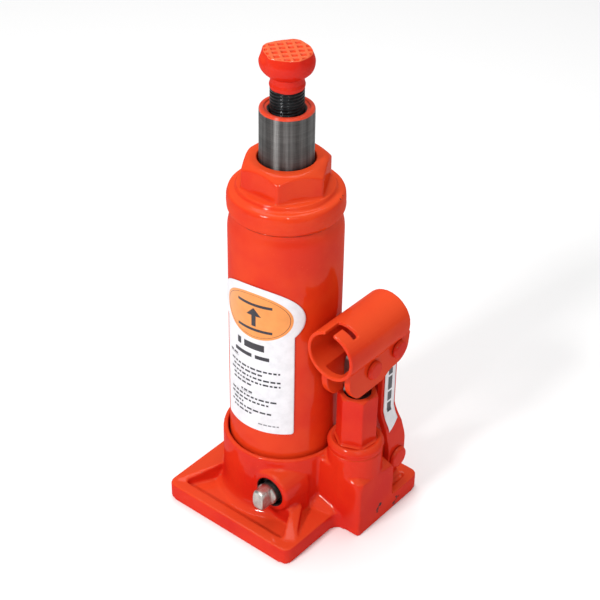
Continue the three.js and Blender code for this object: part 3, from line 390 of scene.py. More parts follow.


# Ground steel: rings left by the wheel, streaks along the axis (partly drawing marks, partly a painted
# reflection standing in for vertical highlight bands), stains and small dark nicks. Above rimFrom the rim
# caught enamel, and radial brushing stretches the highlight along the axis.
def groundSteel(name, dark, light, rough, rimFrom=None, radial=False):
    finish = Finish(name)
    rings = finish.noise(1.0, 6.0, 0.75, finish.scaled((60.0, 60.0, 5200.0)))
    broad = finish.noise(1.0, 3.0, 0.6, finish.scaled((30.0, 30.0, 420.0)))
    drawn = finish.noise(1.0, 5.0, 0.7, finish.scaled((420.0, 420.0, 6.0)))
    ringTone = finish.spread(rings, 0.3, 0.7, 0.0, 0.35)
    # Painted reflection in part: the tone streaks along the axis stand in for vertical highlight bands as
    # well as drawing marks.
    streakAndSheenTone = finish.spread(drawn, 0.35, 0.65, 0.0, 0.65)
    colour = finish.mixed(finish.combine("ADD", ringTone, streakAndSheenTone), dark, light)
    stain = finish.spread(finish.noise(90.0, 5.0, 0.65), 0.55, 0.8, 0.0, 0.35)
    colour = finish.mixed(stain, colour, (0.075, 0.066, 0.060))
    nick = finish.spread(finish.noise(650.0, 3.0, 0.7), 0.72, 0.76, 0.0, 0.7)
    colour = finish.mixed(nick, colour, (0.05, 0.045, 0.045))
    rough = finish.spread(broad, 0.3, 0.7, rough[0], rough[1])
    if rimFrom is not None:
        height = finish.axis("Z")
        wander = finish.spread(finish.noise(160.0, 3.0), 0.2, 0.8, -0.0002, 0.0002)
        edge = finish.combine("ADD", height, wander)
        painted = finish.spread(edge, rimFrom * mm - 0.00006, rimFrom * mm + 0.00006)
        # The painted rim takes the lit orange copy of the enamel.
        colour = finish.mixed(painted, colour, enamelLook["litOrange"])
        rough = finish.combine("SUBTRACT", rough, finish.combine("MULTIPLY", painted, 0.08))
        finish.link(finish.combine("SUBTRACT", 1.0, painted), finish.shader.inputs["Metallic"])
    else:
        finish.set(Metallic=1.0)
    finish.link(colour, finish.shader.inputs["Base Color"])
    finish.link(rough, finish.shader.inputs["Roughness"])
    if radial:
        around = finish.node("ShaderNodeTangent", direction_type="RADIAL", axis="Z")
        finish.link(around.outputs["Tangent"], finish.shader.inputs["Tangent"])
        finish.set(Anisotropic=1.0, Anisotropic_Rotation=0.25)
    finish.bumped((rings, 0.05, 0.00003))
    return finish


ramSteel = groundSteel(
    "ground ram steel", (0.070, 0.067, 0.065), (0.24, 0.235, 0.23), (0.40, 0.48), rimFrom=208.4, radial=True,
)
plungerSteel = groundSteel("ground plunger steel", (0.15, 0.14, 0.135), (0.32, 0.31, 0.30), (0.26, 0.38))


# Plain steel, zinc, copper and rubber share one recipe: two tones, speckle, bump.
def plainStuff(name, light, dark, rough, metal, grain=500.0, bump=0.15, speckle=0.5):
    finish = Finish(name)
    tone = finish.spread(finish.noise(grain, 4.0, 0.6), 0.3, 0.7)
    colour = finish.mixed(tone, dark, light)
    spot = finish.spread(finish.noise(grain * 0.28, 5.0, 0.7), 0.6, 0.75, 0.0, speckle)
    colour = finish.mixed(spot, colour, tuple(c * 0.5 for c in dark))
    finish.link(colour, finish.shader.inputs["Base Color"])
    finish.link(finish.spread(finish.noise(grain * 0.5, 3.0), 0.3, 0.7, rough * 0.8, rough * 1.25),
                finish.shader.inputs["Roughness"])
    finish.set(Metallic=metal)
    finish.bumped((finish.noise(grain * 2.2, 3.0), bump, 0.0001))
    return finish


plainSteel = plainStuff("plain oiled steel", (0.40, 0.39, 0.38), (0.22, 0.21, 0.21), 0.42, 1.0)
cylinderSteel = plainStuff("drawn cylinder steel", (0.46, 0.45, 0.44), (0.30, 0.29, 0.29), 0.35, 1.0)
copperStuff = plainStuff("annealed copper", (0.72, 0.33, 0.19), (0.45, 0.18, 0.10), 0.32, 1.0)
rubberStuff = plainStuff(
    "nitrile rubber", (0.030, 0.030, 0.031), (0.016, 0.016, 0.017), 0.62, 0.0, bump=0.25,
)
springSteel = plainStuff("spring steel", (0.34, 0.34, 0.35), (0.16, 0.16, 0.17), 0.35, 1.0)


# The last colour here is the painted highlight on the ridges of the head's face.
dipLook = {
    "from": 0.2182, "to": 0.2186, "misted": 0.2120, "ridge": 0.23465, "face": 0.23500,
    "black": (0.006, 0.007, 0.008), "grey": (0.020, 0.021, 0.023),
    "mist": (0.30, 0.035, 0.015), "rubbedAndSheen": (0.74, 0.150, 0.058),
}


# The screw's head was dipped in enamel, and the ridges of its face carry a painted highlight: a lighter
# orange, as lit.
# Its stem is blackened steel, with a mist of enamel on it that thins out downwards.
def dipHead(finish):
    look = dipLook
    height = finish.axis("Z")
    lip = finish.spread(finish.noise(140.0, 3.0), 0.2, 0.8, -0.0004, 0.0004)
    dipped = finish.spread(finish.combine("ADD", height, lip), look["from"], look["to"])
    overspray = finish.spread(finish.noise(210.0, 5.0, 0.7), 0.56, 0.72, 0.0, 0.55)
    mist = finish.combine("MULTIPLY", overspray, finish.spread(height, look["misted"], look["to"] - 0.0001))
    black = finish.mixed(finish.spread(finish.noise(600.0, 4.0), 0.3, 0.7), look["black"], look["grey"])
    stem = finish.mixed(mist, black, look["mist"])
    # Painted highlight: the face above the cells is mixed towards a lighter orange.
    ridge = finish.spread(height, look["ridge"], look["face"], 0.0, 0.75)
    head = finish.mixed(ridge, finish.feeding("Base Color"), look["rubbedAndSheen"])
    headRough = finish.combine("MULTIPLY", finish.feeding("Roughness"), dipped)
    stemRough = finish.combine("SUBTRACT", 0.34, finish.combine("MULTIPLY", dipped, 0.34))
    stemMetal = finish.combine("SUBTRACT", 0.7, finish.combine("MULTIPLY", dipped, 0.7))
    finish.link(finish.mixed(dipped, stem, head), finish.shader.inputs["Base Color"])
    finish.link(finish.combine("ADD", headRough, stemRough), finish.shader.inputs["Roughness"])
    finish.link(stemMetal, finish.shader.inputs["Metallic"])


dipHead(headPaint)


# The valve is zinc plated; enamel mist lies on its shank and the flats stayed bare. Inside the bore it is
# coloured near black: painted shade.
def valveFinish():
    zinc = "zinc plate with overspray"
    finish = plainStuff(zinc, (0.56, 0.55, 0.52), (0.38, 0.37, 0.35), 0.36, 1.0, 420.0)
    along = finish.axis("Y")
    mist = finish.spread(finish.noise(330.0, 5.0, 0.7), 0.46, 0.60)
    behindFlats = finish.spread(along, -0.0374, -0.0366)
    beforeCollar = finish.spread(along, -0.0318, -0.0332)
    shank = finish.combine("MULTIPLY", behindFlats, beforeCollar)
    share = finish.combine("MULTIPLY", finish.combine("MULTIPLY", mist, shank), 0.7)
    # Painted shade: from the threaded part inwards, inside the bore, the stem goes near black.
    inBoreShade = finish.spread(along, -0.0276, -0.0270)
    misted = finish.mixed(share, finish.feeding("Base Color"), (0.40, 0.045, 0.03))
    finish.link(finish.mixed(inBoreShade, misted, (0.03, 0.03, 0.031)), finish.shader.inputs["Base Color"])
    finish.link(finish.combine("SUBTRACT", 1.0, share), finish.shader.inputs["Metallic"])
    return finish


valvePlate = valveFinish()


# Flat inks and vinyl: nearly one colour, with a faint mottling and a soft gloss.
def printed(name, colour, rough=0.36, mottle=0.06):
    finish = Finish(name)
    tone = finish.spread(finish.noise(220.0, 4.0, 0.6), 0.3, 0.75)
    dark = tuple(c * (1 - mottle * 2) for c in colour)
    finish.link(finish.mixed(tone, colour, dark), finish.shader.inputs["Base Color"])
    gloss = finish.spread(finish.noise(80.0, 3.0), 0.3, 0.7, rough * 0.85, rough * 1.2)
    finish.link(gloss, finish.shader.inputs["Roughness"])
    finish.bumped((finish.noise(700.0, 2.0), 0.05, 0.00005))
    return finish


vinylWhite = printed("white vinyl", (0.80, 0.79, 0.82))
inkBlack = printed("black ink", (0.022, 0.020, 0.030), 0.42)
inkOrange = printed("orange ink", (0.86, 0.30, 0.065), 0.34)
inkBrown = printed("dark red ink", (0.20, 0.030, 0.020), 0.40)
inkGrey = printed("grey ink", (0.24, 0.235, 0.25), 0.42)


def finishWith(piece, finish, body=None, replaced=()):
    piece.data.materials.clear()
    piece.data.materials.append(finish.material)
    if body:
        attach(piece, body)
    if replaced:
        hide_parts(*replaced)
    return piece


print("finishes ready")

baseLook = {"cell": 0.72, "relax": 5, "filled": (("delivery_plug", 1.14), ("relief_screw", 1.14))}
castBody = softCopy("cast_base", "base_casting", baseLook["cell"], baseLook["relax"], baseLook["filled"])
finishWith(castBody, castPaint, "base", ["base_casting"])
print("base:", len(castBody.data.polygons), "faces")

tubeLook = {
    "radius": 26.0, "wall": 2.5, "bottom": 30.8, "top": 160.0, "neckRadius": 24.5, "neckFrom": 149.5,
}


# The tube is a wall section turned about the axis; near the top its outside draws in to the neck
# by a squared smooth step, as the tube was spun over its end.
def reservoir():
    look = tubeLook
    inner = look["radius"] - look["wall"]
    drawIn = look["radius"] - look["neckRadius"]

    def reach(radius, height, angle):
        share = smoothStep(look["neckFrom"], look["top"], height) ** 1.6
        swell = 0.05 * np.sin(height / 21.0 + 2 * np.cos(angle))
        outer = radius > inner + 0.3
        return np.where(outer, radius - drawIn * share - 0.05 + swell * 0.5, radius), height

    return turnedPiece("reservoir_wall", [
        (inner, look["bottom"], 0.2), (look["radius"], look["bottom"], 0.5),
        (look["radius"], look["top"], 0.6), (inner, look["top"], 0.2),
    ], around=256, step=1.0, reach=reach, closed=True)


finishWith(reservoir(), tubePaint, "base", ["reservoir_tube"])

nutLook = {
    "flange": 26.2, "flangeLow": 160.3, "flangeHigh": 170.5, "step": 22.0, "stepHigh": 173.0,
    "flats": 36.0, "vertex": -61.0, "high": 185.6, "hole": 12.85, "spigot": 23.2, "spigotLow": 151.3,
    "seat": 17.65, "seatHigh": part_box("cylinder_gasket")[1].z / mm + 0.1,
    "wiper": 14.85, "wiperLow": 174.7, "wiperHigh": 179.7,
}


# Flange, step and hexagon in one turned section; above the step the radius is the smaller of the
# section's own (which carries the round chamfer) and the hexagon's reach in that direction. Inside
# are seats for the pressure cylinder and the wiper ring.
def nut():
    look = nutLook
    corner = look["flats"] / math.sqrt(3)

    def reach(radius, height, angle):
        wall = hexagonReach(angle, look["flats"], look["vertex"]) + 0 * radius
        foot = 0.9 * np.clip(1 - (height - look["stepHigh"]) / 1.1, 0, 1) ** 2
        inHex = (height > look["stepHigh"] - 0.02) & (radius > look["hole"] + 0.4)
        cutRadius = smoothMin(radius, wall + foot, 0.7)
        rough = 0.05 * np.sin(3 * angle + height) + 0.04 * np.sin(7 * angle - 2.1 * height)
        return np.where(inHex, cutRadius, radius + rough * (radius > look["step"])), height

    return turnedPiece("reservoir_nut", [
        (look["hole"], look["seatHigh"]), (look["seat"], look["seatHigh"]),
        (look["seat"], look["spigotLow"], 0.2), (look["spigot"], look["spigotLow"], 0.4),
        (look["spigot"], look["flangeLow"], 0.2), (look["flange"] - 1.0, look["flangeLow"], 0.8),
        (look["flange"], look["flangeLow"] + 1.6, 1.5), (look["flange"], look["flangeHigh"] - 0.4, 4.6),
        (look["step"] + 0.6, look["flangeHigh"] + 0.5, 0.8),
        (look["step"] - 0.3, look["stepHigh"] - 0.2, 1.1), (corner + 0.4, look["stepHigh"], 0.25),
        (corner + 0.4, look["high"] - 4.0, 0.8), (look["flats"] / 2 - 0.9, look["high"] - 0.5, 1.0),
        (look["flats"] / 2 - 2.2, look["high"], 0.8), (look["hole"], look["high"], 0.7),
        (look["hole"], look["wiperHigh"]), (look["wiper"], look["wiperHigh"]),
        (look["wiper"], look["wiperLow"]), (look["hole"], look["wiperLow"]),
    ], around=288, step=0.6, reach=reach, closed=True)


finishWith(nut(), nutPaint, "base", ["top_nut"])
print("reservoir and nut")

ramLook = {"radius": 12.0, "top": 209.5, "rimHole": 9.9, "rimDepth": 0.8, "neck": 7.65}


# Piston, rod and painted rim in one turned section, hollow for the extension screw.
def ramBody():
    look = ramLook
    floor = look["top"] - look["rimDepth"]
    return turnedPiece("ram_body", [
        (0, 43.5), (5.0, 43.5, 0.3), (5.0, 52.0, 0.2), (13.6, 52.0, 0.5), (13.6, 60.0, 0.5),
        (look["radius"], 60.0, 0.2), (look["radius"], look["top"], 1.5), (look["rimHole"], look["top"], 0.7),
        (look["rimHole"] - 0.1, floor, 0.35), (look["neck"] + 1.0, floor, 0.5),
        (look["neck"], floor - 1.3, 0.4), (look["neck"], 189.7, 0.3),
        (9.3, 189.7, 0.3), (9.3, 76.0, 0.3), (0, 76.0),
    ], around=192, step=0.8)


finishWith(ramBody(), ramSteel, "ram", ["ram"])

screwLook = {"radius": 7.4, "lead": 3.0, "starts": 2, "thread": 0.55, "low": 142.0, "threadHigh": 218.9}


# Threaded stem: a right-hand helix of two starts. Its phase is the starts times height over lead,
# less angle over a full turn; the crests are flat and the grooves between them narrow.
def screwStem():
    look = screwLook

    def reach(radius, height, angle):
        phase = look["starts"] * (height / look["lead"] - angle / turn)
        offGroove = np.abs((phase % 1.0) - 0.5) * 2
        depth = look["thread"] * (1 - smoothStep(0.08, 0.62, offGroove))
        lead = smoothStep(look["low"] + 3.5, look["low"] + 5.0, height)
        onStem = np.abs(radius - look["radius"]) < 0.02
        return np.where(onStem, radius - depth * lead, radius), height

    return turnedPiece("saddle_stem", [
        (0, look["low"]), (5.8, look["low"], 0.5), (5.8, 145.6, 0.1), (look["radius"], 146.4, 0.0),
        (look["radius"], look["threadHigh"], 0.0), (0, look["threadHigh"]),
    ], around=120, step=0.2, reach=reach)


headLook = {
    "bead": 7.7, "beadLow": 218.4, "neck": 7.25, "bulb": 11.95, "bulbHeight": 230.0, "face": 10.8,
    "top": 235.4, "waffleTurn": 51.0, "wafflePitch": 3.75, "cell": 2.45, "cellDepth": 0.80,
    "cellEdge": 0.045, "sag": 0.4, "sagTowards": -20.0,
    "flats": ((-128, 1.5), (-58, 0.45), (12, 0.6), (66, 0.9), (150, 1.0)),
}


# Forged head: bead, neck and a full round bulb in one turned section. The outline wanders as a
# forging does: a few sines of the angle, and flats where the face was pressed out of round. Square
# cells are pressed in on a turned square grid, and the face sinks a little towards one side.
def screwHead():
    look = headLook

    def reach(radius, height, angle):
        share = smoothStep(222.5, 228.0, height) * smoothStep(2.5, 9.0, radius)
        wander = 0.20 * np.sin(2 * angle + 0.6) + 0.15 * np.sin(3 * angle + 2.0)
        wander = wander + 0.06 * np.sin(7 * angle)
        radius = radius + (wander - 0.25) * share
        for towards, depth in look["flats"]:
            flat = smoothStep(0.80, 1.0, np.cos(angle - math.radians(towards)))
            flat = depth * flat * smoothStep(230.5, 234.8, height)
            radius = radius - flat * smoothStep(6.0, 10.0, radius)
        x, y = radius * np.cos(angle), radius * np.sin(angle)
        swing = math.radians(look["waffleTurn"])
        u = (x * math.cos(swing) + y * math.sin(swing)) / look["wafflePitch"]
        v = (-x * math.sin(swing) + y * math.cos(swing)) / look["wafflePitch"]
        half, edge = look["cell"] / look["wafflePitch"] / 2, look["cellEdge"]
        offU, offV = (np.abs((q + 0.5) % 1.0 - 0.5) for q in (u + 0.5, v + 0.5))
        inside = smoothStep(half + edge, half - edge, offU) * smoothStep(half + edge, half - edge, offV)
        onFace = (height > look["top"] - 0.25) * smoothStep(look["face"] + 0.2, look["face"] - 0.6, radius)
        away = smoothStep(0.3, 1.0, -np.cos(angle - math.radians(look["sagTowards"])))
        sag = look["sag"] * away * (radius / look["bulb"]) ** 2
        high = smoothStep(229.0, look["top"], height)
        return radius, height - look["cellDepth"] * inside * onFace - sag * high * 0.5

    return turnedPiece("saddle_head", [
        (0, look["beadLow"]), (look["bead"] - 0.4, look["beadLow"], 0.3), (look["bead"], 219.7, 0.7),
        (look["bead"] - 0.05, 220.4, 0.5), (look["neck"], 221.1, 0.4), (look["neck"], 224.0, 0.7),
        (9.6, 225.3, 1.6), (11.35, 227.4, 1.8), (look["bulb"], look["bulbHeight"], 2.2),
        (11.8, 233.0, 1.3), (look["face"] + 0.5, look["top"] - 0.25, 0.8),
        (look["face"] - 0.4, look["top"], 0.5), (0, look["top"]),
    ], around=320, step=0.2, reach=reach)


finishWith(screwStem(), headPaint, "extension_screw")
finishWith(screwHead(), headPaint, "extension_screw", ["extension_screw"])
print("ram and screw")

valveLook = {
    "x": boreShadeLook["x"], "z": boreShadeLook["z"], "radius": 5.5, "end": 38.2, "flats": 6.0, "flatLength": 6.0,
    "thread": 6.95, "pitch": 1.5,
}


# Made about Z with its free end up, then laid along -Y. Near the free end the section is the
# circle cut by two flats; behind it are the neck, the threaded collar and the O-ring's groove.
def valveStem():
    look = valveLook

    def reach(radius, height, angle):
        flatWall = look["flats"] / 2 / np.clip(np.abs(np.cos(angle)), 0.05, 1)
        cutFrom = look["end"] - look["flatLength"]
        cutShare = smoothStep(cutFrom - 0.5, cutFrom, height)
        flattened = smoothMin(radius, flatWall, 1.5)
        radius = radius + (flattened - radius) * cutShare
        phase = height / look["pitch"] - angle / turn
        onThread = (height < 26.5) & (height > 22.8) & (radius > 6.0)
        return np.where(onThread, radius - 0.45 * (0.5 + 0.5 * np.cos(turn * phase)), radius), height

    piece = turnedPiece("release_stem", [
        (0, 18.15), (2.5, 18.15, 0.3), (2.5, 19.2, 0.1), (1.95, 19.3, 0.1), (1.95, 21.5, 0.1),
        (2.5, 21.6, 0.1), (2.5, 22.6, 0.1), (look["thread"], 22.6, 0.2), (look["thread"], 26.6, 0.3),
        (5.1, 26.7, 0.2), (5.1, 30.2, 0.2), (look["radius"] - 0.05, 30.4, 0.3),
        (look["radius"] - 0.05, look["end"] - 0.1, 1.6), (0, look["end"]),
    ], around=160, step=0.25, reach=reach)
    return placeAlong(piece, (0, -1, 0), (look["x"], 0, look["z"]))


finishWith(valveStem(), valvePlate, "release_valve", ["release_valve"])

boreLook = {"outer": 7.39, "inner": 7.02, "from": 18.4, "to": 29.2, "pitch": 1.5}


# Thread of the valve's bore: a thin sleeve whose inside follows a helix, with narrow crests.
def boreThread():
    look = boreLook

    def reach(radius, height, angle):
        phase = height / look["pitch"] - angle / turn
        groove = smoothStep(0.25, 0.9, np.abs((phase % 1.0) - 0.5) * 2)
        return np.where(radius < look["outer"] - 0.1, radius + 0.3 * groove, radius), height

    piece = turnedPiece("valve_bore_thread", [
        (look["inner"], look["from"]), (look["outer"], look["from"]),
        (look["outer"], look["to"]), (look["inner"], look["to"]),
    ], around=120, step=0.2, reach=reach, closed=True)
    return placeAlong(piece, (0, -1, 0), (valveLook["x"], 0, valveLook["z"]))


# Painted shade: the thread in the valve's bore is coloured near black, as it looks in shade inside the bore.
boreThreadShade = plainStuff("bore thread shade", (0.050, 0.050, 0.052), (0.018, 0.018, 0.019), 0.30, 1.0)
finishWith(boreThread(), boreThreadShade, "base")

pumpLow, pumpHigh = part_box("pump_cylinder")
pumpX, pumpY = (pumpLow.x + pumpHigh.x) / 2 / mm, (pumpLow.y + pumpHigh.y) / 2 / mm
pumpLook = {
    "flats": 17.0, "vertex": -37.4, "low": 22.3, "ringLow": 44.9, "skirt": 43.5, "washer": 12.5,
    "ring": 13.4, "high": 75.1, "shank": 8.4, "bore": 6.35,
}


# Round flange that sweeps up into the hexagon post: the section's radius, held down to the
# hexagon's reach where the post begins. A skirt hides the copper washer.
def pumpPost():
    look = pumpLook
    corner = look["flats"] / math.sqrt(3)

    def reach(radius, height, angle):
        wall = hexagonReach(angle, look["flats"], look["vertex"], 46) + 0 * radius
        rise = np.clip((height - look["ringLow"] - 3.3) / 1.2, 0, 1)
        sweep = 1.2 * (1 - rise) ** 2
        inHex = (height > look["ringLow"] + 3.3) & (radius < corner + 0.62) & (radius > look["bore"] + 0.3)
        return np.where(inHex, smoothMin(radius, wall + sweep, 0.3), radius), height

    piece = turnedPiece("pump_post", [
        (look["bore"], look["low"], 0.2), (look["shank"], look["low"], 0.2),
        (look["shank"], look["ringLow"], 0.2),
        (look["washer"], look["ringLow"], 0.1), (look["washer"], look["skirt"], 0.1),
        (look["ring"] - 0.5, look["skirt"], 0.15), (look["ring"] - 0.35, look["ringLow"] + 0.1, 0.3),
        (look["ring"], look["ringLow"] + 0.6, 0.4), (look["ring"], look["ringLow"] + 1.7, 1.3),
        (look["ring"] - 1.7, look["ringLow"] + 4.0, 1.9), (corner + 0.9, look["ringLow"] + 3.5, 0.5),
        (corner + 0.4, look["ringLow"] + 3.3, 0.2), (corner + 0.4, look["ringLow"] + 5.0, 0.3),
        (corner + 0.3, look["high"] - 1.6, 0.4), (look["flats"] / 2 - 0.3, look["high"], 0.5),
        (look["bore"], look["high"], 0.4),
    ], around=216, step=0.5, reach=reach, closed=True)
    piece.data.transform(Matrix.Translation((pumpX * mm, pumpY * mm, 0)))
    return piece


finishWith(pumpPost(), postPaint, "base", ["pump_cylinder"])

socketLook = {"cell": 0.36, "relax": 4}
leverSocket = softCopy("lever_socket", "handle_socket", socketLook["cell"], socketLook["relax"])
finishWith(leverSocket, sheetPaint, "handle_socket", ["handle_socket"])
linkLook = {"cell": 0.32, "relax": 3}
for side in ("left", "right"):
    linkPlate = softCopy(f"{side}_link", f"link_{side}", linkLook["cell"], linkLook["relax"])
    finishWith(linkPlate, linkPaint, "links", [f"link_{side}"])
print("pump, socket and links")


pinLook = {"shank": 2.9, "groove": 2.2, "crown": 0.86}


# Pin: a shallow domed head with a rolled edge, a shank, and the groove that the clip snaps in.
# Turned about Z from the blind end, then laid along +X.
def headedPin(name, node, headRadius, faceX):
    shank, groove = pinLook["shank"], pinLook["groove"]
    low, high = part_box(node)
    y, z = (low.y + high.y) / 2 / mm, (low.z + high.z) / 2 / mm
    back = low.x / mm - pumpX
    front = high.x / mm - pumpX
    piece = turnedPiece(name, [
        (0, back), (shank, back, 0.4), (shank, -faceX - 1.6, 0.1), (groove, -faceX - 1.6, 0.1),
        (groove, -faceX - 0.3, 0.1), (shank, -faceX - 0.3, 0.1), (shank, faceX + 0.3, 0.1),
        (headRadius, faceX + 0.3, 0.4), (headRadius, faceX + 1.1, 0.7),
        (headRadius * pinLook["crown"], front - 0.15, 0.9), (0, front),
    ], around=96, step=0.35)
    return placeAlong(piece, (1, 0, 0), (pumpX, y, z))


for name, node, headRadius, faceX, body in (
    ("plunger_pin_body", "plunger_pin", 4.6, 8.0, "handle_socket"),
    ("link_pin_body", "link_pin", 4.6, 8.0, "handle_socket"),
    ("lug_pin_body", "lug_pin", 5.6, 7.5, "base"),
):
    finishWith(headedPin(name, node, headRadius, faceX), linkPaint, body, [node])

labelLook = {
    "centre": -82.0, "half": 41.4, "headHalf": 52.0, "low": 52.5, "headMiddle": 117.5, "headHeight": 15.5,
    "radius": 26.32, "thickness": 0.16, "corner": 1.4,
}


# Half width of the label in degrees at a height: the straight panel's, or the oval head's where
# that is wider, and drawn in round the two bottom corners.
def labelHalfWidth(height):
    look = labelLook
    fromMiddle = (height - look["headMiddle"]) / look["headHeight"]
    oval = look["headHalf"] * np.sqrt(np.clip(1 - fromMiddle ** 2, 0, 1))
    drop = math.sqrt(1 - (look["half"] / look["headHalf"]) ** 2)
    straight = np.where(height < look["headMiddle"] - look["headHeight"] * drop, look["half"], 0.0)
    rise = np.clip(look["corner"] - (height - look["low"]), 0, look["corner"])
    inset = look["corner"] - np.sqrt(np.clip(look["corner"] ** 2 - rise ** 2, 0, None))
    return np.maximum(oval, straight) - np.degrees(inset / look["radius"])


# Places on the tube: an arc length from the label's middle line and a height, at a radius.
def onTube(arc, height, radius):
    angle = np.radians(labelLook["centre"]) + arc / labelLook["radius"]
    return np.stack([radius * np.cos(angle), radius * np.sin(angle), height], -1) * mm


# Open sheet of quads from a grid of points.
def sheetMesh(name, grid):
    count, across = grid.shape[:2]
    index = np.arange(count * across).reshape(count, across)
    faces = np.stack([index[:-1, :-1], index[:-1, 1:], index[1:, 1:], index[1:, :-1]], -1).reshape(-1, 4)
    return meshObject(name, grid.reshape(-1, 3), faces.tolist())


# Gives a sheet its thickness, outwards.
def thicken(piece, thickness):
    wall = piece.modifiers.new("thickness", "SOLIDIFY")
    wall.thickness = thickness * mm
    wall.offset = 1.0
    return piece


# The label's sheet: rows from its foot to its top, set closer at both ends by a cosine, each as wide
# as the label is at that height.
def tubeLabel():
    look = labelLook
    share = 0.5 - 0.5 * np.cos(np.linspace(0, math.pi, 150))
    top = look["headMiddle"] + look["headHeight"]
    height = look["low"] + share * (top - 0.004 - look["low"])
    across = np.linspace(-1, 1, 73)[None, :]
    arc = across * np.radians(labelHalfWidth(height))[:, None] * look["radius"]
    grid = onTube(arc, height[:, None] + 0 * arc, look["radius"])
    return thicken(sheetMesh("tube_label", grid), look["thickness"])


finishWith(tubeLabel(), vinylWhite, "base", ["reservoir_label"])

printLift = 0.05
printRadius = labelLook["radius"] + labelLook["thickness"] + printLift


# Oval patch on the tube: rings of a polar grid, scaled to the two half axes.
def ovalPrint(name, middle, halfArc, halfHeight, lift=0.0, inner=0.0):
    angle = np.linspace(0, turn, 97)[None, :]
    share = np.linspace(inner, 1, 24)[:, None]
    arc = middle[0] + halfArc * share * np.cos(angle)
    height = middle[1] + halfHeight * share * np.sin(angle)
    grid = onTube(arc, height, printRadius + lift)[:, ::-1]
    return sheetMesh(name, grid)


# Bars of print: every bar is a small curved patch, sixteen cells long and one high, given by its
# left and right arc and its low and high edge, all made at once as arrays.
def barPrint(name, bars, lift=0.03):
    bars = np.array(bars, float)
    points = 17  # along each bar
    share = np.linspace(0, 1, points)
    arc = bars[:, 0, None] + (bars[:, 1] - bars[:, 0])[:, None] * share
    low = np.repeat(bars[:, 2, None], points, axis=1)
    high = np.repeat(bars[:, 3, None], points, axis=1)
    corners = np.stack([onTube(arc, low, printRadius + lift), onTube(arc, high, printRadius + lift)], 1)
    start = (np.arange(len(bars)) * 2 * points)[:, None]
    cell = np.arange(points - 1)[None, :]
    faces = np.stack([start + cell, start + cell + 1, start + cell + points + 1, start + cell + points], -1)
    return meshObject(name, corners.reshape(-1, 3), faces.reshape(-1, 4).tolist(), smooth=False)


# A line of print: bars of word length with word gaps, from a seeded draw, until the line is full.
def wordBars(draw, left, right, middle, height, longest=3.0):
    bars = []
    start = left
    while start < right - 0.6:
        length = float(draw.uniform(0.9, longest))
        end = min(start + length, right)
        bars.append((start, end, middle - height / 2, middle + height / 2))
        start = end + height * 0.75
    return bars


# Lines of small print with their places, two bold words above them, thin rules and a faint foot line.
def tubePrint():
    draw = np.random.default_rng(7)
    low = labelLook["low"]
    body = []
    bold = [(-9.6, -7.4, low + 46.2, low + 49.8), (-5.4, 5.2, low + 46.2, low + 49.8)]
    medium = [(-11.4, -1.2, low + 41.4, low + 43.4), (0.6, 7.6, low + 41.4, low + 43.4)]
    for left, right, line in (
        (-15.6, -9.4, 39.2), (-14.6, 12.6, 35.0), (-13.0, 5.4, 32.6), (-14.6, 12.8, 30.0),
        (-13.0, 12.8, 27.6), (-13.0, -0.6, 25.2), (-7.6, -1.0, 21.0), (-14.6, 11.0, 18.2),
        (-14.6, 8.0, 15.8), (-13.0, -6.4, 13.4), (-14.6, 9.0, 11.0), (-13.0, -1.4, 8.6),
    ):
        body += wordBars(draw, left, right, low + line, 0.95)
    rules = [(-15.6, -9.4, low + 38.2, low + 38.36), (-7.6, -1.0, low + 20.0, low + 20.16)]
    foot = wordBars(draw, 2.2, 12.2, low + 4.2, 0.7, 2.2)
    return body + medium + rules, bold, foot


bodyBars, boldBars, footBars = tubePrint()
ovalMiddle = (0.0, 117.2)
finishWith(ovalPrint("label_oval", ovalMiddle, 18.4, 12.3), inkOrange, "base")
finishWith(ovalPrint("label_oval_line", ovalMiddle, 17.2, 11.2, 0.03, 0.985), inkBrown, "base")
finishWith(barPrint("label_print", bodyBars), inkBlack, "base")
finishWith(barPrint("label_heading", boldBars), inkBlack, "base")
finishWith(barPrint("label_foot", footBars), inkGrey, "base")


# Pictogram: an arrow lifting a bar off a ground line, the general sign for lifting. The arrow's head
# is a stack of ever shorter bars.
def liftSign():
    bars = [(-9.0, 9.0, 122.6, 124.0), (-9.0, 9.0, 109.2, 110.6), (-1.1, 1.1, 111.8, 117.4)]
    steps, headHalf, headLow, rise = 8, 3.6, 117.4, 0.5
    for i in range(steps):
        half = headHalf * (1 - i / steps)
        bars.append((-half, half, headLow + i * rise, headLow + (i + 1) * rise))
    return bars


finishWith(barPrint("label_sign", liftSign(), 0.05), inkBlack, "base")

stripLook = {
    "half": 4.0, "top": 82.0, "low": 44.0, "slant": 4.5, "lift": 0.02, "thickness": 0.12,
    "bend": 56.0, "bendRun": 10.0, "joggle": 3.0, "leanFrom": 52.0, "lean": 0.183, "printLift": 0.2,
    "words": ((76.2, 79.6), (67.4, 75.0), (61.0, 66.2), (54.4, 59.8)),
}


# The strip follows the link's outer face: straight down, then outwards with the joggle, and leaning
# back with the link's foot. Its lower end is cut on the slant.
def stripGrid(half, low, high, lift, rows=60, slant=0.0):
    look = stripLook
    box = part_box("link_label")
    face = box[0].x / mm
    middle = (box[0].y + box[1].y) / 2 / mm
    across = np.linspace(0, 1, 9)[None, :]
    height = np.linspace(0, 1, rows)[:, None]
    height = low + slant * across + (high - low - slant * across) * height
    drop = np.clip((look["bend"] - height) / look["bendRun"], 0, 1)
    leaned = np.clip(look["leanFrom"] - height, 0, None) * look["lean"]
    y = middle - half + 2 * half * across + leaned
    return np.stack([face + look["joggle"] * drop + lift + 0 * y, y, height], -1) * mm


def linkStrip():
    look = stripLook
    grid = stripGrid(look["half"], look["low"], look["top"], look["lift"], slant=look["slant"])
    return thicken(sheetMesh("link_strip", grid), look["thickness"])


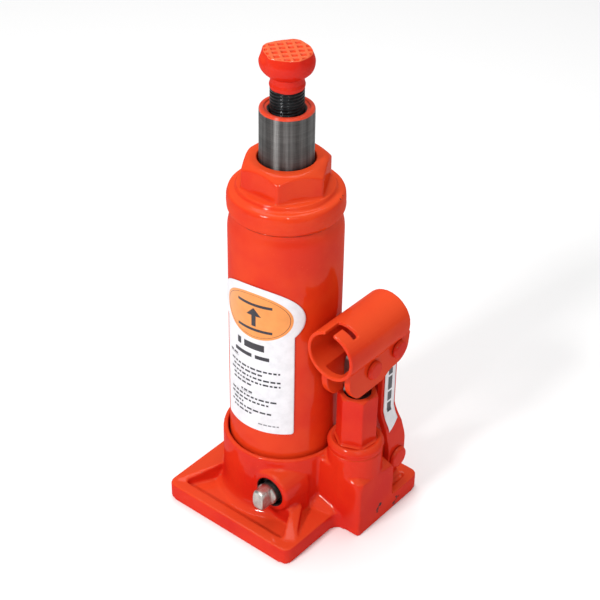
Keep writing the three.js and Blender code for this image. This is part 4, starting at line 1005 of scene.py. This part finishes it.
finishWith(linkStrip(), vinylWhite, "links", ["link_label"])


# Words along the strip, struck out as bars: each bar is a grid of cells on the strip's own surface.
def stripMarks():
    grids = [stripGrid(1.5, low, high, stripLook["printLift"], rows=24) for low, high in stripLook["words"]]
    count, across = grids[0].shape[:2]
    index = np.arange(count * across).reshape(count, across)
    quads = np.stack([index[:-1, :-1], index[:-1, 1:], index[1:, 1:], index[1:, :-1]], -1).reshape(-1, 4)
    faces = (quads[None] + (np.arange(len(grids)) * count * across)[:, None, None]).reshape(-1, 4)
    points = np.concatenate([grid.reshape(-1, 3) for grid in grids])
    return meshObject("link_strip_print", points, faces.tolist())


finishWith(stripMarks(), inkBlack, "links")
print("labels")

# Small and hidden pieces keep their solids, with finishes of their own.
carried = {
    "ram_wiper": rubberStuff, "lower_gasket": rubberStuff, "upper_gasket": rubberStuff,
    "filler_plug": rubberStuff, "ram_cup_seal": rubberStuff, "pump_gland": sheetPaint,
    "plunger_seal": rubberStuff, "valve_oring": rubberStuff, "cylinder_gasket": copperStuff,
    "pump_washer": copperStuff, "pressure_cylinder": cylinderSteel,
    "ram_seal_nut": plainSteel, "screw_stop_ring": plainSteel, "plunger_pin_clip": springSteel,
    "link_pin_clip": springSteel, "lug_pin_clip": springSteel, "delivery_spring": springSteel,
    "relief_spring": springSteel, "suction_ball": plungerSteel, "delivery_ball": plungerSteel,
    "relief_ball": plungerSteel, "release_ball": plungerSteel, "pump_plunger": plungerSteel,
    "delivery_plug": castPaint, "relief_screw": castPaint,
}
for node, finish in carried.items():
    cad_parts[node].data.materials.clear()
    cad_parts[node].data.materials.append(finish.material)
print("small pieces finished")

stageLook = {"size": 6.0, "drop": 0.00005, "colour": (0.96, 0.96, 0.96), "sky": 0.38}
floorCorners = np.array([[-1, -1, 0], [1, -1, 0], [1, 1, 0], [-1, 1, 0]]) * stageLook["size"] / 2
floorCorners = floorCorners - np.array([0, 0, stageLook["drop"]])
floor = meshObject("floor", floorCorners, [(0, 1, 2, 3)], smooth=False)
floorFinish = Finish("pale floor")
floorFinish.set(Base_Color=(*stageLook["colour"], 1), Roughness=0.7)
floor.data.materials.append(floorFinish.material)

world = bpy.data.worlds.new("studio")
world.use_nodes = True
world.node_tree.nodes["Background"].inputs["Color"].default_value = (1, 1, 1, 1)
world.node_tree.nodes["Background"].inputs["Strength"].default_value = stageLook["sky"]
bpy.context.scene.world = world


# A rectangular studio light, turned to face a point.
def softbox(name, where, aim, size, power):
    light = bpy.data.lights.new(name, "AREA")
    light.shape = "RECTANGLE"
    light.size, light.size_y = size
    light.energy = power
    lamp = bpy.data.objects.new(name, light)
    lamp.location = where
    lamp.rotation_euler = (Vector(aim) - Vector(where)).to_track_quat("-Z", "Y").to_euler()
    bpy.context.scene.collection.objects.link(lamp)


aimPoint = (0, 0, 0.1)
softbox("key", (-0.08, -1.05, 0.86), aimPoint, (0.24, 0.12), 9.5)
softbox("second", (0.58, -0.62, 0.85), aimPoint, (0.09, 0.06), 1.3)
softbox("front", (0.85, -0.62, 0.80), aimPoint, (0.4, 0.5), 0.9)
softbox("top", (-0.15, 0.20, 1.35), aimPoint, (1.0, 1.0), 11.0)

cameraLook = {
    "place": (0.362750, -0.436077, 0.511633), "azimuth": 39.08, "elevation": 35.29, "roll": 0.92,
    "lens": 91.58, "sensor": 36.0,
}
azimuth, elevation = math.radians(cameraLook["azimuth"]), math.radians(cameraLook["elevation"])
roll = math.radians(cameraLook["roll"])
away, rise = math.cos(elevation), math.sin(elevation)
back = np.array([math.sin(azimuth) * away, -math.cos(azimuth) * away, rise])
level = np.array([math.cos(azimuth), math.sin(azimuth), 0.0])
upright = np.cross(back, level)
right = math.cos(roll) * level + math.sin(roll) * upright
up = -math.sin(roll) * level + math.cos(roll) * upright
lensData = bpy.data.cameras.new("camera")
lensData.lens = cameraLook["lens"]
lensData.sensor_width = cameraLook["sensor"]
camera = bpy.data.objects.new("camera", lensData)
axes = zip(np.stack([right, up, back], 1), cameraLook["place"])
camera.matrix_world = Matrix([(*row, place) for row, place in axes] + [(0, 0, 0, 1)])
bpy.context.scene.collection.objects.link(camera)
bpy.context.scene.camera = camera
bpy.context.scene.view_settings.view_transform = "Standard"
